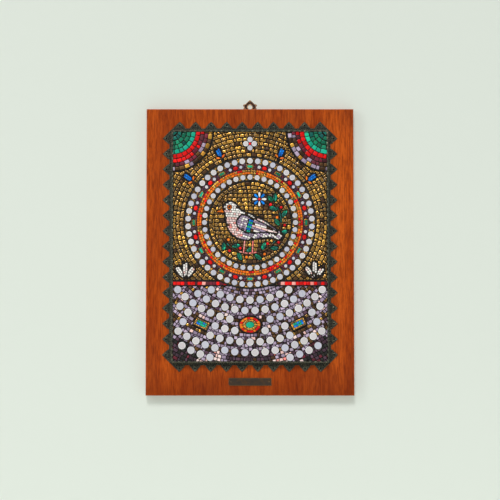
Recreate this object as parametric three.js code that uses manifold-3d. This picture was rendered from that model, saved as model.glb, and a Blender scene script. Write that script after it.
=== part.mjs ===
// Mosaic wall panel: a hardwood board carrying a glass mosaic in a mortar bed, with a pierced
// metal edging round the mosaic, a title plate below it and a cast hanger behind the top edge.
// Millimetres. +Z is up, the picture faces -Y, and the origin is the middle of the hanger's eye
// on the wall plane.

import * as THREE from 'three';
import { mergeVertices } from 'three/addons/utils/BufferGeometryUtils.js';
import Module from 'manifold-3d';

const wasm = await Module();
wasm.setup();

// Driving dimensions.

const BOARD = { width: 355, height: 490, thickness: 18, arris: 1.5, arrisSteps: 2 };

const OVERSHOOT = 1; // how far a cutting solid runs past the face that it opens

const PANEL = {
  width: 267,
  height: 396,
  topMargin: 38,
  tileFace: 9.5, // the tesserae's faces above the board
  rise: 11.25, // the edging's lip above the board
};

const EDGING = {
  sheet: 1,
  lipReach: 2.75,
  tipReach: 16,
  tipWidth: 2,
  valleyReach: 4.5,
  valleyWidth: 6.4,
  unitsAcross: 10,
  unitsUp: 15,
  holeRadius: 1.6,
  holeReach: 9.5,
  holeSides: 6,
  fit: 0.3, // between neighbouring strips, and between the strips and the bed
};

const HANGER = {
  thickness: 2,
  eyeRadius: 3.9,
  eyeSides: 16,
  eyeAboveBoard: 6,
  // The right half of its outline, from the peak down: each curve's pull, then its end.
  peak: 12.5,
  crest: [
    [[4, 9.6], [7.2, 5.7]],
    [[8.8, 5.3], [11.6, 4.2]],
    [[12.8, 2.2], [10.2, 0.8]],
    [[10.2, -0.8], [11.4, -2.6]],
    [[11.8, -7.5], [9, -12]],
  ],
  curveSteps: 4,
  tangHalfWidth: 9,
  tangCorner: 6,
  tangEnd: -36,
};

const NAIL = {
  across: 9,
  drop: 22,
  headRadius: 2.5,
  headDepth: 1,
  headSunk: 0.25,
  shankRadius: 1.25,
  length: 12,
  clearance: 0.3,
  headSeat: 1, // how deep the plate is sunk for the head
  sides: 8,
};

const PLATE = {
  width: 73,
  height: 13,
  thickness: 1.25,
  aboveBoardEdge: 23.5,
  corner: 1,
  wornCorner: 2.5,
  strokeDepth: 0.25,
  strokeWidth: 0.9,
  strokeHeight: 3.4,
  strokePitch: 2.2,
  strokesPerGroup: [3, 6, 4, 5],
};

// The picture is a jewelled wreath round a perched dove, above a field of pearls. Its places are
// measured from the middle of the panel and up from the panel's lower edge.

const WREATH = {
  height: 238, // its centre above the panel's lower edge
  innerLine: 71.25,
  outerLine: 111.75,
  lineWidth: 2,
  lineSides: 40,
  innerPearls: { radius: 77.5, count: 40, size: 8.5 },
  outerPearls: { radius: 105.5, count: 50, size: 9.5 },
  jewels: { radius: 95.75, count: 12, length: 12, width: 6.5 },
};

const FIELD = {
  horizon: 136, // where the gold ground ends and the pearl field starts
  horizonMargin: 10.5,
  firstArc: 132,
  arcStep: 17.8,
  arcs: 8,
  pearlPitch: 17.2,
  pearlSize: 12.4,
  sideLimit: 123,
  lowLimit: 9,
};

const ORNAMENT_CLEAR = 7.5; // from a medallion's or tablet's edge to the nearest pearl's centre
const MEDALLION = { height: 64, halfWidth: 20, halfHeight: 15, sides: 20 };
const TABLET = { across: 82, height: 66, length: 27, width: 16 };
const QUATREFOIL = { height: 373, reach: 7.2, size: 9 };

const RELIEF = { pearl: 1, jewel: 1, medallion: 1.25, line: 0.75, root: 1, pearlSides: 7 };

const DOVE_LINE = 1.6;
const DOVE_STEPS = 3;
const DOVE_OUTLINE = [
  [-46, 24], [-43, 16], [-41, 5], [-38, -10], [-26, -24], [-6, -30], [16, -27], [35, -26],
  [52, -30], [56, -19], [39, -7], [22, 5], [2, 14], [-15, 21], [-23, 31], [-32, 36],
  [-41, 33],
];

const WOOD = new THREE.MeshStandardMaterial({ color: 0x9c4314, roughness: 0.35 });
const MOSAIC = new THREE.MeshStandardMaterial({ color: 0x70605a, roughness: 0.4 });
const BRONZE = new THREE.MeshStandardMaterial({ color: 0x46504a, roughness: 0.6, metalness: 0.8 });
const BRASS = new THREE.MeshStandardMaterial({ color: 0x6b4a2c, roughness: 0.45, metalness: 0.9 });
const STEEL = new THREE.MeshStandardMaterial({ color: 0x8a8782, roughness: 0.5, metalness: 0.9 });
const PLATE_BRONZE = new THREE.MeshStandardMaterial({
  color: 0x463c2e,
  roughness: 0.5,
  metalness: 0.8,
});

// Levels worked out from them.

const BOARD_BACK = -HANGER.thickness;
const BOARD_FACE = BOARD_BACK - BOARD.thickness;
const BOARD_TOP = -HANGER.eyeAboveBoard;
const BOARD_FOOT = BOARD_TOP - BOARD.height;
const PANEL_TOP = BOARD_TOP - PANEL.topMargin;
const PANEL_FOOT = PANEL_TOP - PANEL.height;
const TILE_FACE = BOARD_FACE - PANEL.tileFace;
const WREATH_CENTRE = new THREE.Vector2(0, PANEL_FOOT + WREATH.height);

// Turns a drawing's plane to face forward: its x stays across, its y goes up and its depth
// comes forward, towards -Y.
const FACE_FORWARD = new THREE.Matrix4().set(
  1, 0, 0, 0,
  0, 0, -1, 0,
  0, 1, 0, 0,
  0, 0, 0, 1,
);

// A slab of a drawn outline, from the level `back` forward by `depth`.
function slab(shape, back, depth) {
  const geometry = new THREE.ExtrudeGeometry(shape, { depth, bevelEnabled: false });
  geometry.applyMatrix4(FACE_FORWARD);
  geometry.translate(0, back, 0);
  return geometry;
}

function solid(geometry) {
  const bare = geometry.clone();
  bare.deleteAttribute('normal');
  bare.deleteAttribute('uv');
  const merged = mergeVertices(bare, 1e-4);
  return new wasm.Manifold(
    new wasm.Mesh({
      numProp: 3,
      vertProperties: new Float32Array(merged.attributes.position.array),
      triVerts: new Uint32Array(merged.index.array),
    }),
  );
}

function joined(solids) {
  return solids.reduce((whole, piece) => whole.add(piece));
}

function geometryOf(manifold) {
  const made = manifold.getMesh();
  const geometry = new THREE.BufferGeometry();
  geometry.setAttribute('position', new THREE.BufferAttribute(made.vertProperties, made.numProp));
  geometry.setIndex(new THREE.BufferAttribute(made.triVerts, 1));
  geometry.computeVertexNormals();
  return geometry;
}

function named(name, geometry, material) {
  const mesh = new THREE.Mesh(geometry, material);
  mesh.name = name;
  return mesh;
}

// The corners of a regular polygon, each `radius` from its centre.
function polygon(centre, radius, sides, turn = 0) {
  return Array.from({ length: sides }, (_, i) => {
    const angle = turn + (2 * Math.PI * i) / sides;
    return new THREE.Vector2(
      centre.x + radius * Math.cos(angle),
      centre.y + radius * Math.sin(angle),
    );
  });
}

function polar(centre, radius, angle) {
  return new THREE.Vector2(
    centre.x + radius * Math.cos(angle),
    centre.y + radius * Math.sin(angle),
  );
}

// A rectangle with its middle at `centre` and its long side turned by `angle`.
function rectangle(centre, length, width, angle = 0) {
  const corners = [
    [-length / 2, -width / 2],
    [length / 2, -width / 2],
    [length / 2, width / 2],
    [-length / 2, width / 2],
  ];
  return corners.map(([x, y]) =>
    new THREE.Vector2(x, y).rotateAround(new THREE.Vector2(), angle).add(centre));
}

// The board, a rectangle with rounded arrises and a pilot hole for each of the hanger's nails.
function board() {
  const outline = new THREE.Shape(
    rectangle(new THREE.Vector2(0, (BOARD_TOP + BOARD_FOOT) / 2), BOARD.width, BOARD.height),
  );
  const plank = new THREE.ExtrudeGeometry(outline, {
    depth: BOARD.thickness - 2 * BOARD.arris,
    bevelThickness: BOARD.arris,
    bevelSize: BOARD.arris,
    bevelOffset: -BOARD.arris,
    bevelSegments: BOARD.arrisSteps,
  });
  plank.applyMatrix4(FACE_FORWARD);
  plank.translate(0, BOARD_BACK - BOARD.arris, 0);
  const pilots = nailPlaces().map((place) =>
    solid(slab(
      new THREE.Shape(polygon(place, NAIL.shankRadius + NAIL.clearance, NAIL.sides)),
      BOARD_BACK + OVERSHOOT,
      NAIL.length,
    )));
  return geometryOf(solid(plank).subtract(joined(pilots)));
}

// The edging's four sides, in order round the panel: each starts at a corner and runs `along`.
const SIDES = [
  { name: 'top', corner: [-0.5, 1], along: [1, 0], out: [0, 1] },
  { name: 'right', corner: [0.5, 1], along: [0, -1], out: [1, 0] },
  { name: 'bottom', corner: [0.5, 0], along: [-1, 0], out: [0, -1] },
  { name: 'left', corner: [-0.5, 0], along: [0, 1], out: [-1, 0] },
];

function edgingStrip(side) {
  const across = side.along[0] !== 0;
  const length = across ? PANEL.width : PANEL.height;
  const units = across ? EDGING.unitsAcross : EDGING.unitsUp;
  const pitch = length / units;
  const mitreShift = (EDGING.fit / 2) * Math.SQRT2;

  const place = ([run, reach]) =>
    new THREE.Vector2(
      side.corner[0] * PANEL.width + side.along[0] * run + side.out[0] * reach,
      PANEL_FOOT + side.corner[1] * PANEL.height + side.along[1] * run + side.out[1] * reach,
    );
  const startAt = (reach) => [mitreShift - reach, reach];
  const endAt = (reach) => [length - mitreShift + reach, reach];
  const bar = (inner, outer) =>
    new THREE.Shape([startAt(inner), endAt(inner), endAt(outer), startAt(outer)].map(place));

  // The corner's outline is the straight line between the first tips of both strips.
  const cornerReach = (EDGING.tipReach - (pitch - EDGING.tipWidth) / 2) / 2;
  const edge = [startAt(-EDGING.sheet), startAt(cornerReach)];
  for (let unit = 0; unit < units; unit += 1) {
    const middle = (unit + 0.5) * pitch;
    if (unit > 0) {
      edge.push([unit * pitch + EDGING.valleyWidth / 2, EDGING.valleyReach]);
    }
    edge.push([middle - EDGING.tipWidth / 2, EDGING.tipReach]);
    edge.push([middle + EDGING.tipWidth / 2, EDGING.tipReach]);
    if (unit < units - 1) {
      edge.push([(unit + 1) * pitch - EDGING.valleyWidth / 2, EDGING.valleyReach]);
    }
  }
  edge.push(endAt(cornerReach), endAt(-EDGING.sheet));

  const flange = new THREE.Shape(edge.map(place));
  for (let unit = 0; unit < units; unit += 1) {
    const middle = place([(unit + 0.5) * pitch, EDGING.holeReach]);
    flange.holes.push(new THREE.Path(polygon(middle, EDGING.holeRadius, EDGING.holeSides)));
  }

  const lipBack = BOARD_FACE - PANEL.rise + EDGING.sheet;
  return geometryOf(joined([
    solid(slab(flange, BOARD_FACE, EDGING.sheet)),
    solid(slab(bar(-EDGING.sheet, 0), BOARD_FACE, PANEL.rise)),
    solid(slab(bar(-EDGING.lipReach, 0), lipBack, EDGING.sheet)),
  ]));
}

// A raised piece of the mosaic, rooted in the bed.
function raised(points, relief) {
  return solid(slab(new THREE.Shape(points), TILE_FACE + RELIEF.root, RELIEF.root + relief));
}

// A sunk line of the mosaic, between an outer loop and an inner one.
function sunk(outer, inner) {
  const shape = new THREE.Shape(outer);
  shape.holes.push(new THREE.Path(inner));
  return solid(slab(shape, TILE_FACE + RELIEF.line, RELIEF.line + RELIEF.root));
}

function sunkCircle(radius) {
  const loop = (reach) => polygon(WREATH_CENTRE, reach, WREATH.lineSides);
  return sunk(loop(radius + WREATH.lineWidth / 2), loop(radius - WREATH.lineWidth / 2));
}

function pearl(centre, size) {
  return raised(polygon(centre, size / 2, RELIEF.pearlSides, Math.PI / 2), RELIEF.pearl);
}

function wreathPearls({ radius, count, size }) {
  return Array.from({ length: count }, (_, i) =>
    pearl(polar(WREATH_CENTRE, radius, Math.PI / 2 + (2 * Math.PI * i) / count), size));
}

function wreathJewels({ radius, count, length, width }) {
  return Array.from({ length: count }, (_, i) => {
    const angle = Math.PI / 2 + (2 * Math.PI * i) / count;
    const middle = polar(WREATH_CENTRE, radius, angle);
    return raised(rectangle(middle, length, width, angle + Math.PI / 2), RELIEF.jewel);
  });
}

function tabletPlaces() {
  return [-1, 1].map((hand) => {
    const middle = new THREE.Vector2(hand * TABLET.across, PANEL_FOOT + TABLET.height);
    const spoke = middle.clone().sub(WREATH_CENTRE).angle();
    return { middle, turn: spoke + Math.PI / 2 };
  });
}

function clearOfOrnaments(point) {
  const medallionReach = Math.hypot(
    point.x / (MEDALLION.halfWidth + ORNAMENT_CLEAR),
    (point.y - PANEL_FOOT - MEDALLION.height) / (MEDALLION.halfHeight + ORNAMENT_CLEAR),
  );
  const offTablets = tabletPlaces().every(({ middle, turn }) => {
    const local = point.clone().rotateAround(middle, -turn).sub(middle);
    return Math.abs(local.x) > TABLET.length / 2 + ORNAMENT_CLEAR
      || Math.abs(local.y) > TABLET.width / 2 + ORNAMENT_CLEAR;
  });
  return medallionReach > 1 && offTablets;
}

// Pearls on arcs round the wreath's centre, each arc half a pitch out of step with the last.
function fieldPearls() {
  const places = [];
  for (let arc = 0; arc < FIELD.arcs; arc += 1) {
    const radius = FIELD.firstArc + arc * FIELD.arcStep;
    const step = FIELD.pearlPitch / radius;
    const most = Math.ceil(Math.PI / 2 / step);
    for (let i = -most; i <= most; i += 1) {
      const angle = -Math.PI / 2 + (i + (arc % 2) / 2) * step;
      places.push(polar(WREATH_CENTRE, radius, angle));
    }
  }
  const lowest = PANEL_FOOT + FIELD.lowLimit;
  const highest = PANEL_FOOT + FIELD.horizon - FIELD.horizonMargin;
  return places
    .filter((place) => Math.abs(place.x) <= FIELD.sideLimit)
    .filter((place) => place.y >= lowest && place.y <= highest)
    .filter(clearOfOrnaments)
    .map((place) => pearl(place, FIELD.pearlSize));
}

function medallion() {
  const centre = new THREE.Vector2(0, PANEL_FOOT + MEDALLION.height);
  const oval = polygon(new THREE.Vector2(), 1, MEDALLION.sides).map((point) =>
    new THREE.Vector2(point.x * MEDALLION.halfWidth, point.y * MEDALLION.halfHeight).add(centre));
  return raised(oval, RELIEF.medallion);
}

function quatrefoil() {
  const centre = new THREE.Vector2(0, PANEL_FOOT + QUATREFOIL.height);
  return Array.from({ length: 4 }, (_, i) =>
    pearl(polar(centre, QUATREFOIL.reach, (Math.PI / 2) * i), QUATREFOIL.size));
}

// A smooth closed loop through a few anticlockwise points, moved outwards by `grow`.
function smoothLoop(points, steps, grow) {
  const loop = points.map(([x, y]) => new THREE.Vector2(x, y));
  const at = (i) => loop[(i + loop.length) % loop.length];
  const smooth = loop.flatMap((_, i) => {
    const span = new THREE.SplineCurve([at(i - 1), at(i), at(i + 1), at(i + 2)]);
    return Array.from({ length: steps }, (__, step) => span.getPoint((1 + step / steps) / 3));
  });
  return smooth.map((point, i) => {
    const before = smooth[(i + smooth.length - 1) % smooth.length];
    const after = smooth[(i + 1) % smooth.length];
    const along = after.clone().sub(before).normalize();
    return new THREE.Vector2(along.y, -along.x).multiplyScalar(grow).add(point);
  });
}

function doveLine() {
  const loop = (grow) =>
    smoothLoop(DOVE_OUTLINE, DOVE_STEPS, grow).map((point) => point.add(WREATH_CENTRE));
  return sunk(loop(DOVE_LINE / 2), loop(-DOVE_LINE / 2));
}

// The mortar bed with its mosaic: pearls, jewels and medallion stand out, dark lines lie sunk.
function mosaicBed() {
  const inset = 2 * (EDGING.sheet + EDGING.fit);
  const middle = new THREE.Vector2(0, (PANEL_TOP + PANEL_FOOT) / 2);
  const block = solid(slab(
    new THREE.Shape(rectangle(middle, PANEL.width - inset, PANEL.height - inset)),
    BOARD_FACE,
    PANEL.tileFace,
  ));
  const tablets = tabletPlaces().map((place) =>
    raised(rectangle(place.middle, TABLET.length, TABLET.width, place.turn), RELIEF.jewel));
  const proud = joined([
    ...wreathPearls(WREATH.innerPearls),
    ...wreathPearls(WREATH.outerPearls),
    ...wreathJewels(WREATH.jewels),
    ...fieldPearls(),
    ...quatrefoil(),
    ...tablets,
    medallion(),
  ]);
  const lines = joined([sunkCircle(WREATH.innerLine), sunkCircle(WREATH.outerLine), doveLine()]);
  return geometryOf(block.subtract(lines).add(proud));
}

function nailPlaces() {
  const half = NAIL.across / 2;
  return [-half, half].map((x) => new THREE.Vector2(x, -NAIL.drop));
}

// The hanger, a cast plate: a peaked crest with an eye, and a tang down the board's back.
function hanger() {
  const half = new THREE.Path();
  half.moveTo(0, HANGER.peak);
  for (const [pull, end] of HANGER.crest) {
    half.quadraticCurveTo(...pull, ...end);
  }
  half.lineTo(HANGER.tangHalfWidth, HANGER.tangEnd + HANGER.tangCorner);
  half.quadraticCurveTo(HANGER.tangHalfWidth, HANGER.tangEnd, 0, HANGER.tangEnd);
  const right = half.getPoints(HANGER.curveSteps);
  const left = right.slice(1, -1).reverse().map((point) => new THREE.Vector2(-point.x, point.y));
  const outline = new THREE.Shape([...right, ...left]);
  outline.holes.push(new THREE.Path(
    polygon(new THREE.Vector2(), HANGER.eyeRadius, HANGER.eyeSides),
  ));
  const plate = solid(slab(outline, 0, HANGER.thickness));

  const holes = nailPlaces().flatMap((place) => [
    solid(slab(
      new THREE.Shape(polygon(place, NAIL.headRadius + NAIL.clearance, NAIL.sides)),
      OVERSHOOT,
      OVERSHOOT + NAIL.headSunk + NAIL.headSeat,
    )),
    solid(slab(
      new THREE.Shape(polygon(place, NAIL.shankRadius + NAIL.clearance, NAIL.sides)),
      OVERSHOOT,
      HANGER.thickness + 2 * OVERSHOOT,
    )),
  ]);
  return geometryOf(plate.subtract(joined(holes)));
}

function nail(place) {
  const head = new THREE.Shape(polygon(place, NAIL.headRadius, NAIL.sides));
  const shank = new THREE.Shape(polygon(place, NAIL.shankRadius, NAIL.sides));
  return geometryOf(joined([
    solid(slab(head, -NAIL.headSunk, NAIL.headDepth)),
    solid(slab(shank, -NAIL.headSunk, NAIL.length)),
  ]));
}

// The title plate, with groups of shallow upright strokes in place of its inscription.
function titlePlate() {
  const centre = new THREE.Vector2(0, BOARD_FOOT + PLATE.aboveBoardEdge);
  const right = PLATE.width / 2;
  const top = PLATE.height / 2;
  const outline = new THREE.Shape([
    [PLATE.wornCorner - right, -top],
    [right - PLATE.corner, -top],
    [right, PLATE.corner - top],
    [right, top - PLATE.corner],
    [right - PLATE.corner, top],
    [PLATE.corner - right, top],
    [-right, top - PLATE.corner],
    [-right, PLATE.wornCorner - top],
  ].map(([x, y]) => new THREE.Vector2(x, y).add(centre)));
  const plate = solid(slab(outline, BOARD_FACE, PLATE.thickness));

  const strokes = PLATE.strokesPerGroup.reduce((sum, count) => sum + count, 0);
  const places = strokes + PLATE.strokesPerGroup.length - 1;
  const cuts = [];
  let place = 0;
  for (const count of PLATE.strokesPerGroup) {
    for (let i = 0; i < count; i += 1) {
      const middle = centre.clone();
      middle.x += (place - (places - 1) / 2) * PLATE.strokePitch;
      cuts.push(solid(slab(
        new THREE.Shape(rectangle(middle, PLATE.strokeWidth, PLATE.strokeHeight)),
        BOARD_FACE - PLATE.thickness + PLATE.strokeDepth,
        PLATE.strokeDepth + OVERSHOOT,
      )));
      place += 1;
    }
    place += 1;
  }
  return geometryOf(plate.subtract(joined(cuts)));
}

const group = new THREE.Group();
group.add(named('backboard', board(), WOOD));
group.add(named('mosaic_bed', mosaicBed(), MOSAIC));
for (const side of SIDES) {
  group.add(named(`edging_${side.name}`, edgingStrip(side), BRONZE));
}
group.add(named('title_plate', titlePlate(), PLATE_BRONZE));
group.add(named('hanger', hanger(), BRASS));
nailPlaces().forEach((place, i) => {
  group.add(named(`hanger_nail_${['left', 'right'][i]}`, nail(place), STEEL));
});

export default group;
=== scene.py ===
"""Looks of the mosaic wall panel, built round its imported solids.

The board, the mosaic set tessera by tessera, the pierced metal edging, the title plate and the
hanger are each a class below. Plane drawings are in millimetres from the middle of the mosaic's
lower edge, with u across and v up; meshes are in metres in the frame of the solids.
"""

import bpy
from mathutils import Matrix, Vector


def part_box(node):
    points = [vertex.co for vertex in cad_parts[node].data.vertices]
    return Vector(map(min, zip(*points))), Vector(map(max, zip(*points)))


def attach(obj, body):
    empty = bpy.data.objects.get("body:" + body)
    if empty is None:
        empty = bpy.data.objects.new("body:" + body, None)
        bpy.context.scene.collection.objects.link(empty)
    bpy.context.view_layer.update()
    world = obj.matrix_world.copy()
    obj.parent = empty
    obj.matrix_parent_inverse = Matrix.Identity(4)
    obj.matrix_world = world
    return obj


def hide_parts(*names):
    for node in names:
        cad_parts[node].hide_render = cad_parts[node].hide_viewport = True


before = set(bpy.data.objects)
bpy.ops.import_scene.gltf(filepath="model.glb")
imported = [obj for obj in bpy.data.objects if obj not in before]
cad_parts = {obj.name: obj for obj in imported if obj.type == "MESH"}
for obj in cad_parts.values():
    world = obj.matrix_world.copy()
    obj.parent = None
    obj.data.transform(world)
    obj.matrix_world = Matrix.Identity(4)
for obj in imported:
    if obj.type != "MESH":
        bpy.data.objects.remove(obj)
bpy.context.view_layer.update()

import logging
import math
from dataclasses import dataclass, field
from enum import Enum
from typing import Callable, Iterable, Sequence

import bpy
import numpy as np
from mathutils import Euler, Vector
from mathutils.geometry import tessellate_polygon

MM = 0.001
TURN = 2.0 * math.pi
CREASE = math.radians(42.0)
SEED = 29
LOG = logging.getLogger("mosaic_panel")

Point = tuple[float, float]
Point3 = tuple[float, float, float]
Paint = tuple[float, float, float, float]


# --- Plane areas ------------------------------------------------------------------------------


class Area:
    """A plane area told by its signed distance, which is below zero inside it."""

    def distance(self, spots: np.ndarray) -> np.ndarray:
        """Measures how far each spot, one a row, lies outside the area."""
        raise NotImplementedError


@dataclass(frozen=True)
class Discs(Area):
    """One or more round areas."""

    centres: np.ndarray
    radii: np.ndarray

    def distance(self, spots: np.ndarray) -> np.ndarray:
        """See Area."""
        gaps = np.linalg.norm(spots[:, None, :] - self.centres[None, :, :], axis=2)
        return (gaps - self.radii[None, :]).min(axis=1)


@dataclass(frozen=True)
class Ring(Area):
    """The area between two circles."""

    centre: Point
    inner: float
    outer: float

    def distance(self, spots: np.ndarray) -> np.ndarray:
        """See Area."""
        reach = np.hypot(spots[:, 0] - self.centre[0], spots[:, 1] - self.centre[1])
        return np.abs(reach - (self.inner + self.outer) / 2) - (self.outer - self.inner) / 2


@dataclass(frozen=True)
class Oval(Area):
    """The area inside an upright or level oval."""

    centre: Point
    half_width: float
    half_height: float

    def distance(self, spots: np.ndarray) -> np.ndarray:
        """See Area."""
        across = (spots[:, 0] - self.centre[0]) / self.half_width
        up = (spots[:, 1] - self.centre[1]) / self.half_height
        share = np.maximum(np.hypot(across, up), 1e-6)
        slope = np.hypot(across / self.half_width, up / self.half_height) / share
        return (share - 1.0) / np.maximum(slope, 1e-6)


@dataclass(frozen=True)
class Slab(Area):
    """A rectangle, which may be turned."""

    centre: Point
    length: float
    width: float
    turn: float = 0.0

    def local(self, spots: np.ndarray) -> np.ndarray:
        """Moves plane points, one a row, to the slab's own middle and axes."""
        return turned(spots - np.array(self.centre), -self.turn)

    def distance(self, spots: np.ndarray) -> np.ndarray:
        """See Area."""
        over = np.abs(self.local(spots)) - np.array([self.length, self.width]) / 2
        outside = np.linalg.norm(np.maximum(over, 0.0), axis=1)
        return outside + np.minimum(over.max(axis=1), 0.0)

    def corners(self) -> np.ndarray:
        """Returns its corners, anticlockwise."""
        square = np.array([[-0.5, -0.5], [0.5, -0.5], [0.5, 0.5], [-0.5, 0.5]])
        return turned(square * np.array([self.length, self.width]), self.turn) + np.array(self.centre)


@dataclass(frozen=True)
class Loop(Area):
    """The area inside a closed outline of straight steps."""

    outline: np.ndarray

    def distance(self, spots: np.ndarray) -> np.ndarray:
        """See Area. A spot far outside gets its distance from the circle round the outline."""
        middle = self.outline.mean(axis=0)
        reach = np.linalg.norm(self.outline - middle, axis=1).max()
        gaps = np.linalg.norm(spots - middle, axis=1) - reach
        near = gaps < 3.0
        gaps[near] = self.exact_distance(spots[near])
        return gaps

    def exact_distance(self, spots: np.ndarray) -> np.ndarray:
        """Measures the signed distance from the outline's sides."""
        start = self.outline
        step = np.roll(start, -1, axis=0) - start
        out = spots[:, None, :] - start[None, :, :]
        share = (out * step).sum(axis=2) / np.maximum((step * step).sum(axis=1), 1e-9)
        miss = out - np.clip(share, 0.0, 1.0)[:, :, None] * step
        nearest = np.sqrt((miss * miss).sum(axis=2).min(axis=1))
        low = start[None, :, 1] <= spots[:, None, 1]
        high = (start + step)[None, :, 1] <= spots[:, None, 1]
        turn = step[None, :, 0] * out[:, :, 1] - step[None, :, 1] * out[:, :, 0]
        crossed = (low & ~high & (turn > 0)).sum(axis=1) - (~low & high & (turn < 0)).sum(axis=1)
        return np.where(crossed != 0, -nearest, nearest)


@dataclass(frozen=True)
class Both(Area):
    """What lies in one area and outside others."""

    inside: Area
    outside: tuple[Area, ...] = ()

    def distance(self, spots: np.ndarray) -> np.ndarray:
        """See Area."""
        depth = self.inside.distance(spots)
        for area in self.outside:
            depth = np.maximum(depth, -area.distance(spots))
        return depth


@dataclass(frozen=True)
class Overlap(Area):
    """What lies in two areas at once."""

    first: Area
    second: Area

    def distance(self, spots: np.ndarray) -> np.ndarray:
        """See Area."""
        return np.maximum(self.first.distance(spots), self.second.distance(spots))


def turned(spots: np.ndarray, angle: float) -> np.ndarray:
    """Turns plane points, one a row, anticlockwise about the origin."""
    cosine, sine = math.cos(angle), math.sin(angle)
    return spots @ np.array([[cosine, sine], [-sine, cosine]])


def unit(vectors: np.ndarray) -> np.ndarray:
    """Scales vectors, one a row, to length one."""
    return vectors / np.maximum(np.linalg.norm(vectors, axis=1, keepdims=True), 1e-9)


def area_of(outline: np.ndarray) -> float:
    """Returns an outline's area, above zero where it runs anticlockwise."""
    after = np.roll(outline, -1, axis=0)
    return 0.5 * float(np.sum(outline[:, 0] * after[:, 1] - outline[:, 1] * after[:, 0]))


def circle(sides: int) -> np.ndarray:
    """Returns the corners of a regular polygon of radius one, anticlockwise."""
    angles = np.arange(sides) * TURN / sides
    return np.column_stack([np.cos(angles), np.sin(angles)])


def polar(centre: Point, radius: float, angle: float) -> Point:
    """Finds the point at a radius and an anticlockwise angle from a centre."""
    return centre[0] + radius * math.cos(angle), centre[1] + radius * math.sin(angle)


def smooth_loop(points: Sequence[Point], steps: int) -> np.ndarray:
    """Draws a smooth closed outline through a few points.

    Args:
        points: The outline's points in order.
        steps: Straight steps between one point and the next.

    Returns:
        The outline, one point a row.
    """
    knots = np.array(points, dtype=float)
    before, after, beyond = (np.roll(knots, shift, axis=0) for shift in (1, -1, -2))
    leave = (after - before) / 2
    arrive = (beyond - knots) / 2
    rows = []
    for t in np.arange(steps) / steps:
        cubic = 2 * knots - 2 * after + leave + arrive
        square = 3 * after - 3 * knots - 2 * leave - arrive
        rows.append(cubic * t**3 + square * t**2 + leave * t + knots)
    return np.stack(rows, axis=1).reshape(-1, 2)


def two_sided(along: np.ndarray, side: np.ndarray, base: Point, angle: float) -> np.ndarray:
    """Draws an outline with like sides from their reach along its axis and beside it."""
    half = np.column_stack([along, -side])
    return turned(np.vstack([half, half[-2:0:-1] * np.array([1.0, -1.0])]), angle) + np.array(base)


def leaf_outline(base: Point, angle: float, length: float, width: float) -> np.ndarray:
    """Draws a leaf that points away from its base and is pointed at both ends."""
    share = np.linspace(0.0, 1.0, 9)
    return two_sided(share * length, width / 2 * np.sin(share * math.pi) ** 0.8, base, angle)


def drop_outline(base: Point, angle: float, length: float, width: float) -> np.ndarray:
    """Draws a drop that is pointed at its base and round at its end.

    Args:
        base: Its pointed end.
        angle: The way it swells, in radians.
        length: From end to end.
        width: Across its widest place.

    Returns:
        The outline, anticlockwise.
    """
    bend = np.linspace(0.0, math.pi, 10)
    side = width / 2 * np.sin(bend) * (0.55 + 0.65 * np.sin(bend / 2) ** 2)
    return two_sided((1.0 - np.cos(bend)) / 2 * length, side, base, angle)


# --- Cutting and setting tesserae -------------------------------------------------------------


@dataclass
class Cut:
    """One tessera's convex outline, anticlockwise, with its place in the laying."""

    corners: np.ndarray
    row: int = 0
    place: int = 0

    def middle(self) -> np.ndarray:
        """Returns the mean of the corners."""
        return self.corners.mean(axis=0)

    def size(self) -> float:
        """Returns the outline's area in square millimetres."""
        return abs(area_of(self.corners))

    def inner_radius(self) -> float:
        """Returns roughly how far the middle lies from the sides."""
        girth = float(np.linalg.norm(np.roll(self.corners, -1, axis=0) - self.corners, axis=1).sum())
        return 2.0 * self.size() / max(girth, 1e-6)


def trimmed(corners: np.ndarray, normal: np.ndarray, limit: float) -> np.ndarray:
    """Cuts a convex outline along a straight line and keeps the low side.

    Args:
        corners: The outline.
        normal: Unit vector across the line, towards the side that goes.
        limit: The line's distance from the origin along the normal.

    Returns:
        The outline that is left, which may be empty.
    """
    over = corners @ normal - limit
    if (over <= 0).all():
        return corners
    kept = []
    for here, there, low, high in zip(corners, np.roll(corners, -1, axis=0), over, np.roll(over, -1)):
        if low <= 0:
            kept.append(here)
        if (low <= 0) != (high <= 0):
            kept.append(here + low / (low - high) * (there - here))
    return np.array(kept).reshape(-1, 2)


def without_short_sides(corners: np.ndarray, least: float = 0.3) -> np.ndarray:
    """Drops each corner that lies close behind the one before it.

    Args:
        corners: The outline.
        least: The shortest side that stays, in millimetres.

    Returns:
        The outline that is left.
    """
    if len(corners) < 3:
        return corners
    gap = np.linalg.norm(corners - np.roll(corners, 1, axis=0), axis=1)
    return corners[gap > least]


def shrunk(corners: np.ndarray, amount: float) -> np.ndarray:
    """Moves every side of a convex outline inwards.

    Args:
        corners: The outline, anticlockwise.
        amount: How far each side moves, in millimetres.

    Returns:
        The smaller outline, which may be empty.
    """
    result = corners
    for here, there in zip(corners, np.roll(corners, -1, axis=0)):
        side = there - here
        length = float(np.linalg.norm(side))
        if length < 1e-6 or len(result) < 3:
            continue
        normal = np.array([side[1], -side[0]]) / length
        result = trimmed(result, normal, float(here @ normal) - amount)
    return result


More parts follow.
